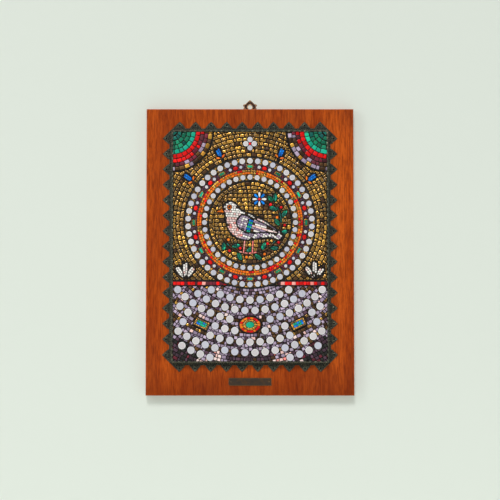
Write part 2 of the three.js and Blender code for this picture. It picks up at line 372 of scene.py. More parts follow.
@dataclass(frozen=True)
class Setter:
    """Trims cut tesserae so that they fill an area and stay off its neighbours."""

    area: Area
    joint: float = 0.9
    least_size: float = 3.0
    least_radius: float = 0.75
    rounds: int = 7
    slack: float = 0.03
    probe_step: float = 0.05
    def slope(self, spots: np.ndarray) -> np.ndarray:
        """Finds the way out of the area, as a unit vector for each spot."""
        return unit(np.column_stack([
            self.area.distance(spots + step) - self.area.distance(spots - step)
            for step in np.eye(2) * self.probe_step]))

    def usable(self, cut: Cut) -> bool:
        """Says whether a trimmed tessera is big enough to set."""
        whole = len(cut.corners) >= 3
        return whole and cut.size() >= self.least_size and cut.inner_radius() >= self.least_radius

    def fit(self, cuts: list[Cut]) -> list[Cut]:
        """Trims tesserae to the area.

        Args:
            cuts: The tesserae as laid, side by side with no joint.

        Returns:
            Those that are left, with joints round them.
        """
        if not cuts:
            return []
        reach = np.array([np.ptp(cut.corners, axis=0).max() for cut in cuts])
        near = self.area.distance(np.array([cut.middle() for cut in cuts])) < reach * 0.45
        live = [
            Cut(shrunk(cut.corners, self.joint / 2), cut.row, cut.place)
            for cut, stays in zip(cuts, near) if stays
        ]
        live = [cut for cut in live if self.usable(cut)]
        settled: list[Cut] = []
        for _ in range(self.rounds):
            if not live:
                break
            probes = [
                np.vstack([
                    cut.corners, (cut.corners + np.roll(cut.corners, -1, axis=0)) / 2,
                    cut.middle()[None, :]])
                for cut in live
            ]
            depth = self.area.distance(np.vstack(probes)) + self.joint / 2
            depths = np.split(depth, np.cumsum([len(probe) for probe in probes])[:-1])
            spots = np.array([probe[part.argmax()] for probe, part in zip(probes, depths)])
            pending = []
            for cut, spot, normal, part in zip(live, spots, self.slope(spots), depths):
                excess = float(part.max())
                if excess <= self.slack:
                    settled.append(cut)
                    continue
                cut.corners = without_short_sides(
                    trimmed(cut.corners, normal, float(spot @ normal) - excess))
                if self.usable(cut):
                    pending.append(cut)
            live = pending
        return settled + live


@dataclass(frozen=True)
class RoundCourses:
    """Rows of tesserae laid round a centre, which may be squashed to ovals."""

    centre: Point
    rows: Sequence[float]
    length: float
    start: float = 0.0
    sweep: float = TURN
    spread: float = 0.2
    slant: float = 0.25
    squash: float = 1.0

    def cuts(self, rng: np.random.Generator) -> list[Cut]:
        """Cuts the rows, side by side, with the irregularity of hand-cut pieces."""
        made = []
        whole = self.sweep >= TURN - 1e-6
        for row, (low, high) in enumerate(zip(self.rows, self.rows[1:])):
            count = max(1, round(self.sweep * (low + high) / 2 / self.length))
            pitch = self.sweep / count
            shift = self.start + (rng.random() * pitch if whole else 0.0)
            wander = rng.uniform(-self.spread, self.spread, count + 1) * pitch
            lean = rng.uniform(-self.slant, self.slant, count + 1) / max(high, 1.0)
            if whole:
                wander[-1] = wander[0]
                lean[-1] = lean[0]
            marks = shift + np.arange(count + 1) * pitch + wander
            for place in range(count):
                corners = np.array([
                    polar((0.0, 0.0), radius, marks[place + step] + side * lean[place + step])
                    for radius, side, step in ((low, -1, 0), (high, 1, 0), (high, 1, 1), (low, -1, 1))
                ]) * np.array([1.0, self.squash])
                if low <= 0.0:
                    corners = without_short_sides(corners)
                made.append(Cut(corners + np.array(self.centre), row, place))
        return made


@dataclass(frozen=True)
class StraightCourses:
    """Straight rows of tesserae, turned about a point."""

    origin: Point
    angle: float
    rows: Sequence[float]
    reach: tuple[float, float]
    length: float
    spread: float = 0.2
    slant: float = 0.3

    def cuts(self, rng: np.random.Generator) -> list[Cut]:
        """Cuts the rows, side by side, with the irregularity of hand-cut pieces."""
        made = []
        low_end, high_end = self.reach
        count = max(1, round((high_end - low_end) / self.length))
        pitch = (high_end - low_end) / count
        for row, (low, high) in enumerate(zip(self.rows, self.rows[1:])):
            marks = low_end + np.arange(count + 1) * pitch
            if self.spread > 0.0:
                marks = marks + rng.random() * pitch - pitch / 2
                marks = marks + rng.uniform(-self.spread, self.spread, count + 1) * pitch
            lean = rng.uniform(-self.slant, self.slant, count + 1)
            for place in range(count):
                corners = np.array([
                    [marks[place + step] + side * lean[place + step], edge]
                    for edge, side, step in ((low, -1, 0), (low, -1, 1), (high, 1, 1), (high, 1, 0))])
                made.append(Cut(turned(corners, self.angle) + np.array(self.origin), row, place))
        return made


@dataclass(frozen=True)
class LineCourse:
    """One row of tesserae along a path."""

    path: np.ndarray
    width: float
    length: float
    closed: bool = False

    def sides(self) -> tuple[np.ndarray, np.ndarray]:
        """Returns the row's right and left side, cut into steps of about one tessera."""
        points = np.vstack([self.path, self.path[:1]]) if self.closed else self.path
        steps = np.linalg.norm(np.diff(points, axis=0), axis=1)
        run = np.concatenate([[0.0], np.cumsum(steps)])
        marks = np.linspace(0.0, run[-1], max(2, round(run[-1] / self.length)) + 1)
        spine = np.column_stack([np.interp(marks, run, points[:, i]) for i in (0, 1)])
        along = np.gradient(spine, axis=0)
        if self.closed:
            along[[0, -1]] = spine[1] - spine[-2]
        across = unit(along)[:, ::-1] * np.array([-1.0, 1.0]) * self.width / 2
        return spine - across, spine + across

    def cuts(self) -> list[Cut]:
        """Returns the row's tesserae, end to end."""
        right, left = self.sides()
        return [
            Cut(np.array([right[i], right[i + 1], left[i + 1], left[i]]), 0, i)
            for i in range(len(right) - 1)
        ]

    def area(self) -> Area:
        """Returns the strip that the row covers."""
        right, left = self.sides()
        return Loop(np.vstack([right, left[::-1]]))


def row_edges(first: float, last: float, height: float) -> list[float]:
    """Divides a stretch into rows of about one height and returns their edges."""
    return list(np.linspace(first, last, max(1, round((last - first) / height)) + 1))


# --- The picture ------------------------------------------------------------------------------


class Glass(Enum):
    """The glasses that the tesserae are cut from."""

    GOLD = "gold"
    WHITE = "white"
    BLUSH = "blush"
    CORAL = "coral"
    LILAC = "lilac"
    PLUM = "plum"
    MAROON = "maroon"
    TURQUOISE = "turquoise"
    GREEN = "green"
    TEAL = "teal"
    BLUE = "blue"
    ORANGE = "orange"
    AMBER = "amber"
    RED = "red"
    UMBER = "umber"
    BLACK = "black"


TintRule = Callable[[Cut, np.random.Generator], Glass]


def mixed(*shares: tuple[Glass, float]) -> TintRule:
    """Makes a rule that draws glasses by their shares."""
    weights = np.array([share for _, share in shares])

    def rule(cut: Cut, rng: np.random.Generator) -> Glass:
        """Draws one glass."""
        return shares[int(rng.choice(len(shares), p=weights / weights.sum()))][0]

    return rule


def plain(glass: Glass) -> TintRule:
    """Makes a rule that always gives one glass."""
    return mixed((glass, 1.0))


def by_row(*rules: TintRule) -> TintRule:
    """Makes a rule that follows the tessera's row, starting again after the last rule."""

    def rule(cut: Cut, rng: np.random.Generator) -> Glass:
        """Passes the tessera to its row's rule."""
        return rules[cut.row % len(rules)](cut, rng)

    return rule


@dataclass(frozen=True)
class Outline(Area):
    """A line of some width along a closed outline."""

    loop: Area
    half_width: float

    def distance(self, spots: np.ndarray) -> np.ndarray:
        """See Area."""
        return np.abs(self.loop.distance(spots)) - self.half_width


@dataclass(frozen=True)
class SetTile:
    """A tessera in its place: its outline, glass and height above the board in millimetres."""

    outline: np.ndarray
    glass: Glass
    level: float
    tilt: float


@dataclass(frozen=True)
class Pearl:
    """A flat glass pearl in its place."""

    centre: Point
    size: float


@dataclass(frozen=True)
class PearlRing:
    """Pearls evenly round the wreath."""

    radius: float
    count: int
    size: float

    def pearls(self, centre: Point) -> list[Pearl]:
        """Returns the ring's pearls."""
        return [
            Pearl(polar(centre, self.radius, TURN / 4 + TURN * i / self.count), self.size)
            for i in range(self.count)
        ]


@dataclass(frozen=True)
class PearlField:
    """Pearls on arcs round the wreath's centre, below the horizon."""

    horizon: float = 136.0
    horizon_margin: float = 10.5
    first_arc: float = 132.0
    arc_step: float = 17.8
    arcs: int = 8
    pitch: float = 17.2
    size: float = 12.4
    side_limit: float = 123.0
    low_limit: float = 9.0

    def pearls(self, centre: Point, clear: Callable[[Point], bool]) -> list[Pearl]:
        """Places the pearls.

        Args:
            centre: The wreath's centre.
            clear: Says whether a place is free of other ornaments.

        Returns:
            The pearls.
        """
        made = []
        for arc in range(self.arcs):
            radius = self.first_arc + arc * self.arc_step
            step = self.pitch / radius
            most = math.ceil(TURN / 4 / step)
            for i in range(-most, most + 1):
                place = polar(centre, radius, -TURN / 4 + (i + (arc % 2) / 2) * step)
                inside = abs(place[0]) <= self.side_limit
                level = self.low_limit <= place[1] <= self.horizon - self.horizon_margin
                if inside and level and clear(place):
                    made.append(Pearl(place, self.size))
        return made


@dataclass
class Picture:
    """The mosaic's design, set from the foremost things back to the grounds."""

    half_width: float = 131.9
    low: float = 1.6
    high: float = 394.4
    face: float = 9.5
    line_sunk: float = 0.45
    centre: Point = (0.0, 238.0)
    inner_line: float = 71.25
    outer_line: float = 111.75
    line_width: float = 2.0
    inner_pearls: PearlRing = PearlRing(77.5, 40, 8.5)
    outer_pearls: PearlRing = PearlRing(105.5, 50, 9.5)
    jewel_radius: float = 95.75
    jewel_count: int = 12
    pearl_field: PearlField = PearlField()
    medallion: Oval = Oval((0.0, 64.0), 20.0, 15.0)
    medallion_rise: float = 1.25
    tablet_across: float = 82.0
    tablet_height: float = 66.0
    tablet_size: Point = (27.0, 16.0)
    jewel_rise: float = 1.0
    clear: float = 7.5
    quatrefoil: Point = (0.0, 373.0)
    fan_radius: float = 70.0
    band_low: float = 131.4
    gold_course: float = 6.9
    field_course: float = 5.8
    dark_corner: float = 42.0
    hem: float = 20.0
    hem_half_width: float = 40.0
    chip_joint: float = 0.75
    least_chip: float = 0.8
    largest_chip: float = 2.6
    tiles: list[SetTile] = field(default_factory=list)
    pearls: list[Pearl] = field(default_factory=list)
    taken: list[Area] = field(default_factory=list)
    plinths: list[tuple[np.ndarray, float]] = field(default_factory=list)
    patches: int = 0

    def draws(self) -> np.random.Generator:
        """Returns a fresh source of chance for the next patch."""
        self.patches += 1
        return np.random.default_rng([SEED, self.patches])

    def panel(self) -> Slab:
        """Returns the whole of the picture."""
        middle = (0.0, (self.low + self.high) / 2)
        return Slab(middle, 2 * self.half_width, self.high - self.low)

    def patch(
        self, area: Area, laying: RoundCourses | StraightCourses | LineCourse, tint: TintRule,
        rise: float = 0.0, joint: float = 0.9, tilt: float = 0.035, least: float = 3.0, kept: bool = True,
    ) -> None:
        """Fills an area with tesserae.

        Args:
            area: Where they go.
            laying: How they are laid.
            tint: Which glass each one is.
            rise: Their height above the mosaic's face.
            joint: The width of the joints.
            tilt: The most that one leans, in radians.
            least: The smallest piece that is set, in square millimetres.
            kept: Whether the area is kept from what is set later.
        """
        rng = self.draws()
        cuts = laying.cuts() if isinstance(laying, LineCourse) else laying.cuts(rng)
        free = Both(area, tuple(self.taken))
        setter = Setter(free, joint, least, min(0.75, math.sqrt(least) * 0.36))
        for cut in setter.fit(cuts):
            level = self.face + rise + rng.uniform(-0.1, 0.1)
            self.tiles.append(SetTile(cut.corners, tint(cut, rng), level, tilt))
        if kept:
            self.taken.append(area)

    def piece(self, outline: np.ndarray, glass: Glass, rise: float = 0.0) -> None:
        """Sets one piece cut to a shape of its own."""
        self.tiles.append(SetTile(shrunk(outline, 0.35), glass, self.face + rise, 0.01))
        self.taken.append(Loop(outline))

    def line(self, loop: np.ndarray, width: float, length: float = 5.0) -> None:
        """Sets a dark line along a closed outline."""
        self.patch(
            Outline(Loop(loop), width / 2), LineCourse(loop, width, length, closed=True),
            plain(Glass.BLACK), -self.line_sunk, 0.35, least=1.5)

    def stem(self, path: Iterable[Point], width: float, length: float, tint: TintRule) -> None:
        """Sets one row of tesserae along an open path."""
        course = LineCourse(np.array(list(path)), width, length)
        self.patch(course.area(), course, tint, joint=0.5, least=1.5)

    def from_centre(self, points: Iterable[Point]) -> list[Point]:
        """Moves points given from the wreath's centre to the picture plane."""
        return [(x + self.centre[0], y + self.centre[1]) for x, y in points]

    def tablets(self) -> list[Slab]:
        """Returns the two jewelled tablets of the field."""
        made = []
        for hand in (-1, 1):
            middle = (hand * self.tablet_across, self.tablet_height)
            spoke = math.atan2(middle[1] - self.centre[1], middle[0] - self.centre[0])
            made.append(Slab(middle, *self.tablet_size, spoke + TURN / 4))
        return made

    def is_clear(self, place: Point) -> bool:
        """Says whether a pearl's place is free of the medallion and the tablets."""
        spot = np.array([place])
        oval = self.medallion
        wide = Oval(oval.centre, oval.half_width + self.clear, oval.half_height + self.clear)
        if wide.distance(spot)[0] <= 0:
            return False
        for tablet in self.tablets():
            limit = np.array([tablet.length, tablet.width]) / 2 + self.clear
            if (np.abs(tablet.local(spot)[0]) <= limit).all():
                return False
        return True

    def set_pearls(self) -> None:
        """Sets every pearl and keeps its place."""
        self.pearls += self.inner_pearls.pearls(self.centre)
        self.pearls += self.outer_pearls.pearls(self.centre)
        self.pearls += self.pearl_field.pearls(self.centre, self.is_clear)
        self.pearls += [Pearl(polar(self.quatrefoil, 7.2, TURN / 4 * i), 9.0) for i in range(4)]
        for i in range(self.jewel_count):
            middle = TURN / 4 + TURN * (i + 0.5) / self.jewel_count
            for side in (-0.098, 0.098):
                self.pearls.append(Pearl(polar(self.centre, self.jewel_radius, middle + side), 5.2))
        self.taken.append(Discs(
            np.array([pearl.centre for pearl in self.pearls]),
            np.array([pearl.size / 2 + 0.1 for pearl in self.pearls])))

    def set_medallion(self) -> None:
        """Sets the oval medallion: a dark edge, two rows and a stone in the middle."""
        oval = self.medallion
        rise = self.medallion_rise - 0.2
        squash = oval.half_height / oval.half_width
        edges = [share * oval.half_width for share in (0.36, 0.62, 0.9, 1.0)]
        ring = circle(16) * np.array([1.0, squash])
        self.piece(ring * edges[0] + np.array(oval.centre), Glass.TURQUOISE, rise + 0.15)
        rows = (
            (4.6, mixed((Glass.GOLD, 0.8), (Glass.AMBER, 0.2))),
            (5.2, mixed((Glass.ORANGE, 0.6), (Glass.RED, 0.4))),
            (5.0, plain(Glass.BLACK)),
        )
        for low, high, (length, tint) in zip(edges, edges[1:], rows):
            courses = RoundCourses(oval.centre, (low, high), length, squash=squash)
            area = Oval(oval.centre, high, high * squash)
            self.patch(area, courses, tint, rise, joint=0.6, least=1.5)
        self.plinths.append((ring * oval.half_width + np.array(oval.centre), rise - 0.8))

    def set_tablets(self) -> None:
        """Sets the two tablets: stones in a gold frame with a dark edge."""
        rise = self.jewel_rise - 0.2
        reach, half = self.tablet_size[0] / 2, self.tablet_size[1] / 2
        edge, frame_width = 1.3, 4.2
        for tablet in self.tablets():

            def tint(cut: Cut, rng: np.random.Generator) -> Glass:
                """Picks frame or stone by the tessera's place."""
                along, across = np.abs(tablet.local(cut.middle()[None, :])[0])
                if across > half - frame_width or along > reach - frame_width:
                    return Glass.GOLD
                return Glass.TURQUOISE if rng.random() < 0.6 else Glass.BLUE

            body = Slab(tablet.centre, tablet.length - 2 * edge, tablet.width - 2 * edge, tablet.turn)
            rows = (edge - half, frame_width - half, 0.0, half - frame_width, half - edge)
            stones = StraightCourses(
                tablet.centre, tablet.turn, rows, (edge - reach, reach - edge), 3.5, 0.0, 0.1)
            self.patch(body, stones, tint, rise, joint=0.5, least=1.5)
            strip = Both(tablet, (body,))
            for turn, low, end, length in (
                (0.0, -half, reach, 5.4), (0.0, half - edge, reach, 5.4),
                (TURN / 4, -reach, half - edge, 4.5), (TURN / 4, reach - edge, half - edge, 4.5),
            ):
                courses = StraightCourses(
                    tablet.centre, tablet.turn + turn, (low, low + edge), (-end, end), length, 0.0, 0.0)
                self.patch(strip, courses, plain(Glass.BLACK), rise - 0.2, 0.3, least=1.0, kept=False)
            self.taken.append(tablet)
            self.plinths.append((tablet.corners(), rise - 0.8))

    def set_wreath_jewels(self) -> None:
        """Sets the bars and the oval stones of the wreath."""
        for i in range(self.jewel_count):
            angle = TURN / 4 + TURN * i / self.jewel_count
            middle = polar(self.centre, self.jewel_radius, angle)
            bar = Slab(middle, 12.0, 6.5, angle + TURN / 4)
            stone = Slab(middle, 9.0, 4.2, bar.turn)
            for rows, reach, length in (
                ((-3.25, -2.1), (-6.0, 6.0), 4.0), ((2.1, 3.25), (-6.0, 6.0), 4.0),
                ((-2.1, 2.1), (-6.0, -4.5), 1.5), ((-2.1, 2.1), (4.5, 6.0), 1.5),
            ):
                frame_side = StraightCourses(middle, bar.turn, rows, reach, length, 0.0, 0.0)
                self.patch(
                    bar, frame_side, plain(Glass.GOLD), self.jewel_rise - 0.3, 0.3, least=0.8,
                    kept=False)
            self.piece(stone.corners(), (Glass.TURQUOISE, Glass.GREEN)[i % 2], self.jewel_rise)
            self.taken[-1] = bar
            turn = angle + TURN / 2 / self.jewel_count
            between = np.array(polar(self.centre, self.jewel_radius, turn))
            self.piece(turned(circle(12) * np.array([3.6, 4.4]), turn) + between, Glass.RED, 0.3)

    def set_dove(self) -> None:
        """Sets the dove: eye, wing, body, beak and legs."""
        eye = self.from_centre([(-35.0, 26.5)])[0]
        self.piece(circle(10) * 1.9 + np.array(eye), Glass.BLACK)
        self.patch(
            Discs(np.array([eye]), np.array([4.1])), RoundCourses(eye, (1.9, 4.1), 3.0, spread=0.05),
            plain(Glass.ORANGE), joint=0.5, least=1.2)
        self.set_wing()
        body = smooth_loop(self.from_centre(DOVE_OUTLINE), 6)
        self.line(body, 1.6)

        def plumage(cut: Cut, rng: np.random.Generator) -> Glass:
            """Picks blush at the breast, lilac at the tail and white elsewhere."""
            across, up = cut.middle() - np.array(self.centre)
            draw = rng.random()
            if across > 34.0:
                return (Glass.LILAC, Glass.WHITE)[cut.row % 2]
            if across < -14.0 and up < 8.0:
                return Glass.CORAL if draw < 0.22 else Glass.BLUSH
            if up < -18.0:
                return Glass.LILAC if draw < 0.55 else Glass.WHITE
            return Glass.BLUSH if draw < 0.18 else Glass.WHITE

        bend = self.from_centre([(-40.0, -130.0)])[0]
        courses = RoundCourses(bend, row_edges(90.0, 178.0, 3.9), 4.6, 0.0, TURN / 2)
        self.patch(Loop(body), courses, plumage, joint=0.75, least=2.2)
        beak = np.array(self.from_centre([(-45.0, 25.0), (-57.5, 18.0), (-43.6, 17.0)]))
        courses = StraightCourses(tuple(beak[1]), 0.12, (-4.0, 2.0, 9.0), (-2.0, 15.0), 7.0, 0.0)
        self.patch(Loop(beak), courses, plain(Glass.ORANGE), joint=0.5, least=1.5)
        for path in LEG_PATHS:
            self.stem(self.from_centre(path), 2.6, 4.6, plain(Glass.CORAL))

    def set_wing(self) -> None:
        """Sets the dove's wing: coverts, a bright bar and long quills."""
        wing = smooth_loop(self.from_centre(WING_OUTLINE), 6)
        self.line(wing, 1.5)
        axis = math.radians(-17.0)
        shoulder = self.from_centre([(-20.0, 4.0)])[0]
        bar_start, bar_end = 17.0, 25.0

        def feather(cut: Cut, rng: np.random.Generator) -> Glass:
            """Picks the glass by the place along the wing."""
            along = turned(cut.middle()[None, :] - np.array(shoulder), -axis)[0][0]
            if along < bar_start:
                return Glass.LILAC if rng.random() < 0.75 else Glass.WHITE
            if along < bar_end:
                return Glass.BLUE if cut.row % 2 else Glass.TURQUOISE
            return (Glass.WHITE, Glass.LILAC, Glass.BLUSH)[cut.row % 3]

        rows = row_edges(-22.0, 22.0, 3.6)
        for low, high, length in ((-6.0, bar_start, 4.2), (bar_start, bar_end, 4.0), (bar_end, 76.0, 10.0)):
            stretch = Slab(polar(shoulder, (low + high) / 2, axis), high - low, 60.0, axis)
            zone = Both(Loop(wing), (Both(Loop(wing), (stretch,)),))
            courses = StraightCourses(shoulder, axis, rows, (low, high), length, 0.12, 0.2)
            self.patch(zone, courses, feather, joint=0.7, least=1.8)

    def set_branch(self) -> None:
        """Sets the branch under the dove with its leaves and berries."""
        radius = 53.0
        start, stop = math.radians(-150.0), math.radians(42.0)
        arc = [polar(self.centre, radius, angle) for angle in np.linspace(start, stop, 40)]
        stem = LineCourse(np.array(arc), 2.4, 5.5)
        self.patch(stem.area(), stem, mixed((Glass.UMBER, 0.7), (Glass.TEAL, 0.3)), joint=0.5)
        greens = mixed((Glass.GREEN, 0.5), (Glass.TURQUOISE, 0.2), (Glass.TEAL, 0.3))
        for i, angle in enumerate(np.linspace(start + 0.12, stop - 0.04, 13)):
            side = (-1) ** i
            base = polar(self.centre, radius + side * 1.6, angle)
            lean = angle + TURN / 4 - side * math.radians(44.0)
            ribs = StraightCourses(base, lean, (-4.0, 0.0, 4.0), (0.5, 15.5), 5.2, 0.05, 0.6)
            self.patch(Loop(leaf_outline(base, lean, 16.0, 7.4)), ribs, greens, joint=0.6, least=1.6)
            self.berry(polar(self.centre, radius - side * 6.2, angle + 0.03))
        tip, lean = polar(self.centre, radius, stop), stop + TURN / 4
        ribs = StraightCourses(tip, lean, (-4.0, 0.0, 4.0), (0.5, 13.5), 5.0, 0.05)
        self.patch(
            Loop(leaf_outline(tip, lean, 14.0, 7.0)), ribs, plain(Glass.GREEN), joint=0.6, least=1.6)

    def berry(self, place: Point) -> None:
        """Sets one round berry where nothing is yet."""
        radius = 2.7
        free = Both(self.panel(), tuple(self.taken))
        if free.distance(np.array([place]))[0] < 0.3 - radius:
            glass = Glass.RED if self.patches % 3 else Glass.ORANGE
            self.piece(circle(10) * radius + np.array(place), glass)
            self.patches += 1

    def set_star(self) -> None:
        """Sets a small eight-rayed flower above the dove's back."""
        middle = self.from_centre([(16.0, 40.0)])[0]
        self.piece(circle(8) * 2.6 + np.array(middle), Glass.RED, 0.2)
        for i in range(8):
            angle = TURN * i / 8
            ray = drop_outline(polar(middle, 2.9, angle), angle, 9.5, 5.0)
            self.piece(ray, (Glass.WHITE, Glass.BLUE)[i % 2])

    def set_wreath_bands(self) -> None:
        """Sets the wreath's dark lines and coloured bands, from the inside out."""
        half = self.line_width / 2
        for radius in (self.inner_line, self.outer_line):
            rows = (radius - half, radius + half)
            self.patch(
                Ring(self.centre, *rows), RoundCourses(self.centre, rows, 6.0, slant=0.05),
                plain(Glass.BLACK), -self.line_sunk, 0.35, least=1.5)
        setting = mixed((Glass.UMBER, 0.6), (Glass.GOLD, 0.4))
        fire = mixed((Glass.ORANGE, 0.55), (Glass.AMBER, 0.2), (Glass.RED, 0.15), (Glass.GOLD, 0.1))
        for rows, length, tint, joint in (
            ((72.3, 75.6, 79.2, 82.6), 3.4, setting, 0.6),
            ((82.6, 86.5, 90.4), 4.6, fire, 0.7),
            ((90.4, 93.9, 97.4, 100.9), 3.9, mixed((Glass.PLUM, 0.7), (Glass.MAROON, 0.3)), 0.7),
            ((100.9, 104.0, 107.2, 110.7), 3.4, setting, 0.6),
        ):
            courses = RoundCourses(self.centre, rows, length)
            self.patch(Ring(self.centre, rows[0], rows[-1]), courses, tint, joint=joint, least=2.0)

    def set_buds(self) -> None:
        """Sets the blue buds that stand on the wreath."""
        for degrees in (36.0, 66.0, 114.0, 144.0):
            angle = math.radians(degrees)
            foot = polar(self.centre, 121.5, angle)
            bud = drop_outline(foot, angle, 18.0, 12.0)
            for hand in (-1, 1):
                base = polar(self.centre, 120.5, angle + hand * 0.008)
                self.piece(leaf_outline(base, angle + hand * 1.05, 9.0, 3.8), Glass.ORANGE)
            self.line(bud, 1.3, 4.0)
            rows = row_edges(-7.2, 7.2, 3.6)
            courses = StraightCourses(foot, angle, rows, (-2.0, 20.0), 3.9, 0.15)
            self.patch(Loop(bud), courses, plain(Glass.BLUE), joint=0.65, least=1.8)
            stem = LineCourse(np.array([polar(self.centre, 112.8, angle), foot]), 2.0, 4.4)
            self.patch(stem.area(), stem, plain(Glass.BLACK), joint=0.35, least=1.2)

    def set_sprays(self) -> None:
        """Sets a spray of three white leaves in each side ground."""
        white = mixed((Glass.WHITE, 0.85), (Glass.BLUSH, 0.15))
        for hand in (-1, 1):
            foot = (hand * 110.0, 141.5)
            for lean, length in ((0.0, 30.0), (0.62, 25.0), (-0.62, 25.0)):
                angle = TURN / 4 + lean
                leaf = drop_outline(polar(foot, 1.5, angle), angle, length, 11.0)
                self.line(leaf, 1.5)
                rows = (-7.5, -3.7, 0.0, 3.7, 7.5)
                courses = StraightCourses(foot, angle, rows, (0.0, 34.0), 4.3, 0.15)
                self.patch(Loop(leaf), courses, white, joint=0.7, least=2.0)

    def set_fans(self) -> None:
        """Sets a quarter fan in each upper corner and the quatrefoil's red heart."""
        rim = self.fan_radius
        rows = (0.0, 9.0, 16.5, 24.0, 31.5, 39.5, 47.5, 54.5, 61.0, rim - 2.0, rim)
        tint = by_row(
            plain(Glass.TEAL),
            mixed((Glass.TEAL, 0.5), (Glass.GREEN, 0.5)),
            plain(Glass.GREEN),
            mixed((Glass.TEAL, 0.3), (Glass.GREEN, 0.7)),
            plain(Glass.TURQUOISE),
            plain(Glass.RED),
            mixed((Glass.MAROON, 0.6), (Glass.RED, 0.4)),
            mixed((Glass.MAROON, 0.45), (Glass.UMBER, 0.3), (Glass.LILAC, 0.25)),
            mixed((Glass.LILAC, 0.4), (Glass.AMBER, 0.3), (Glass.UMBER, 0.3)),
            plain(Glass.BLACK),
        )
        for hand, start in ((-1, -TURN / 4), (1, -TURN / 2)):
            corner = (hand * self.half_width, self.high)
            area = Overlap(Discs(np.array([corner]), np.array([rim])), self.panel())
            courses = RoundCourses(corner, rows, 8.4, start - 0.2, TURN / 4 + 0.4, 0.2)
            self.patch(area, courses, tint, joint=1.25)
        heart = turned(circle(8), TURN / 16) * 2.4
        self.piece(heart + np.array(self.quatrefoil), Glass.RED, 0.2)

    def set_horizon(self) -> None:
        """Sets the band between the gold ground and the pearl field."""
        low = self.band_low
        reach = (-self.half_width, self.half_width)
        blood = mixed((Glass.RED, 0.45), (Glass.MAROON, 0.35), (Glass.CORAL, 0.2))
        for bottom, top, length, tint, rise in (
            (low + 6.0, low + 8.0, 6.5, plain(Glass.BLACK), -self.line_sunk),
            (low, low + 6.0, 6.2, blood, 0.0),
            (low - 1.6, low, 6.5, plain(Glass.BLACK), -self.line_sunk),
        ):
            area = Slab((0.0, (bottom + top) / 2), 2 * self.half_width, top - bottom)
            courses = StraightCourses((0.0, 0.0), 0.0, (bottom, top), reach, length)
            self.patch(area, courses, tint, rise, joint=0.6, least=2.0)

    def set_grounds(self) -> None:
        """Sets the gold grounds and the field between the pearls."""
        gold = mixed((Glass.GOLD, 0.94), (Glass.UMBER, 0.06))
        course = self.gold_course
        length = 1.2 * course
        core = self.inner_line - self.line_width / 2
        outer = self.outer_line + self.line_width / 2
        horizon = self.band_low + 8.0
        floor_rows = row_edges(course - core, core - course, course)
        for area, laying in (
            (Ring(self.centre, core - course, core),
             RoundCourses(self.centre, (core - course, core), length, spread=0.28)),
            (Discs(np.array([self.centre]), np.array([core - course])),
             StraightCourses(self.centre, 0.0, floor_rows, (-core, core), length, 0.28)),
            (Slab((0.0, (horizon + self.high) / 2), 2 * self.half_width, self.high - horizon),
             RoundCourses(self.centre, row_edges(outer, 214.0, course), length, spread=0.28)),
        ):
            self.patch(area, laying, gold, joint=1.7, tilt=0.14)
        field_top = self.band_low - 1.6
        area = Slab((0.0, (self.low + field_top) / 2), 2 * self.half_width, field_top - self.low)
        laying = RoundCourses(self.centre, self.field_rows(outer), 6.0, TURN / 2, TURN / 2, 0.26, 0.6)
        self.patch(area, laying, self.field_tint, joint=1.3, least=2.2)

    def field_rows(self, first: float) -> list[float]:
        """Returns the edges of the field's rows, in step with its arcs of pearls."""
        pearls = self.pearl_field
        link = self.field_course / 2
        between = (pearls.arc_step - self.field_course) / 2
        rows = row_edges(first, pearls.first_arc - link - between, self.field_course)
        for arc in range(pearls.arcs + 1):
            radius = pearls.first_arc + arc * pearls.arc_step
            rows += [radius - link, radius + link, radius + link + between]
        return rows

    def field_tint(self, cut: Cut, rng: np.random.Generator) -> Glass:
        """Picks the field's glass: links between pearls, lilac courses and dark corners.

        Args:
            cut: The tessera.
            rng: Source of chance.

        Returns:
            Its glass.
        """
        across, up = cut.middle()
        pearls = self.pearl_field
        reach = math.hypot(across - self.centre[0], up - self.centre[1]) - pearls.first_arc
        phase = abs(reach - round(reach / pearls.arc_step) * pearls.arc_step)
        draw = rng.random()
        if math.hypot(abs(across) - self.half_width, up - self.low) < self.dark_corner:
            return (Glass.PLUM, Glass.PLUM, Glass.BLACK, Glass.MAROON)[int(draw * 3.3)]
        if up < self.hem and abs(across) < self.hem_half_width:
            return Glass.PLUM if draw < 0.8 else Glass.UMBER
        if up < self.hem:
            return (Glass.CORAL, Glass.BLUSH, Glass.LILAC, Glass.PLUM)[int(draw * 3.99)]
        if phase < self.field_course / 2 and reach > -self.field_course / 2:
            return Glass.UMBER if draw < 0.6 else Glass.GOLD
        for share, glass in ((0.64, Glass.LILAC), (0.74, Glass.PLUM), (0.95, Glass.UMBER)):
            if draw < share:
                return glass
        return Glass.BLUSH

    def fill_gaps(self) -> None:
        """Sets small chips in the gaps that the courses leave, in the nearest piece's glass."""
        step, reach, corners = 0.6, 4.0, 7
        across = np.arange(-self.half_width, self.half_width, step)
        up = np.arange(self.low, self.high, step)
        spots = np.stack(np.meshgrid(across, up), axis=-1)
        room = np.minimum(
            np.minimum(spots[..., 0] + self.half_width, self.half_width - spots[..., 0]),
            np.minimum(spots[..., 1] - self.low, self.high - spots[..., 1]),
        ) + self.chip_joint
        nearest = np.full(room.shape, -1)

        def cover(outline: np.ndarray, number: int) -> None:
            """Lowers the room round a piece."""
            low, high = outline.min(axis=0) - reach, outline.max(axis=0) + reach
            window = (
                slice(np.searchsorted(up, low[1]), np.searchsorted(up, high[1])),
                slice(np.searchsorted(across, low[0]), np.searchsorted(across, high[0])),
            )
            local = spots[window].reshape(-1, 2)
            away = Loop(outline).exact_distance(local).reshape(room[window].shape)
            closer = away < room[window]
            room[window] = np.where(closer, away, room[window])
            nearest[window] = np.where(closer, number, nearest[window])

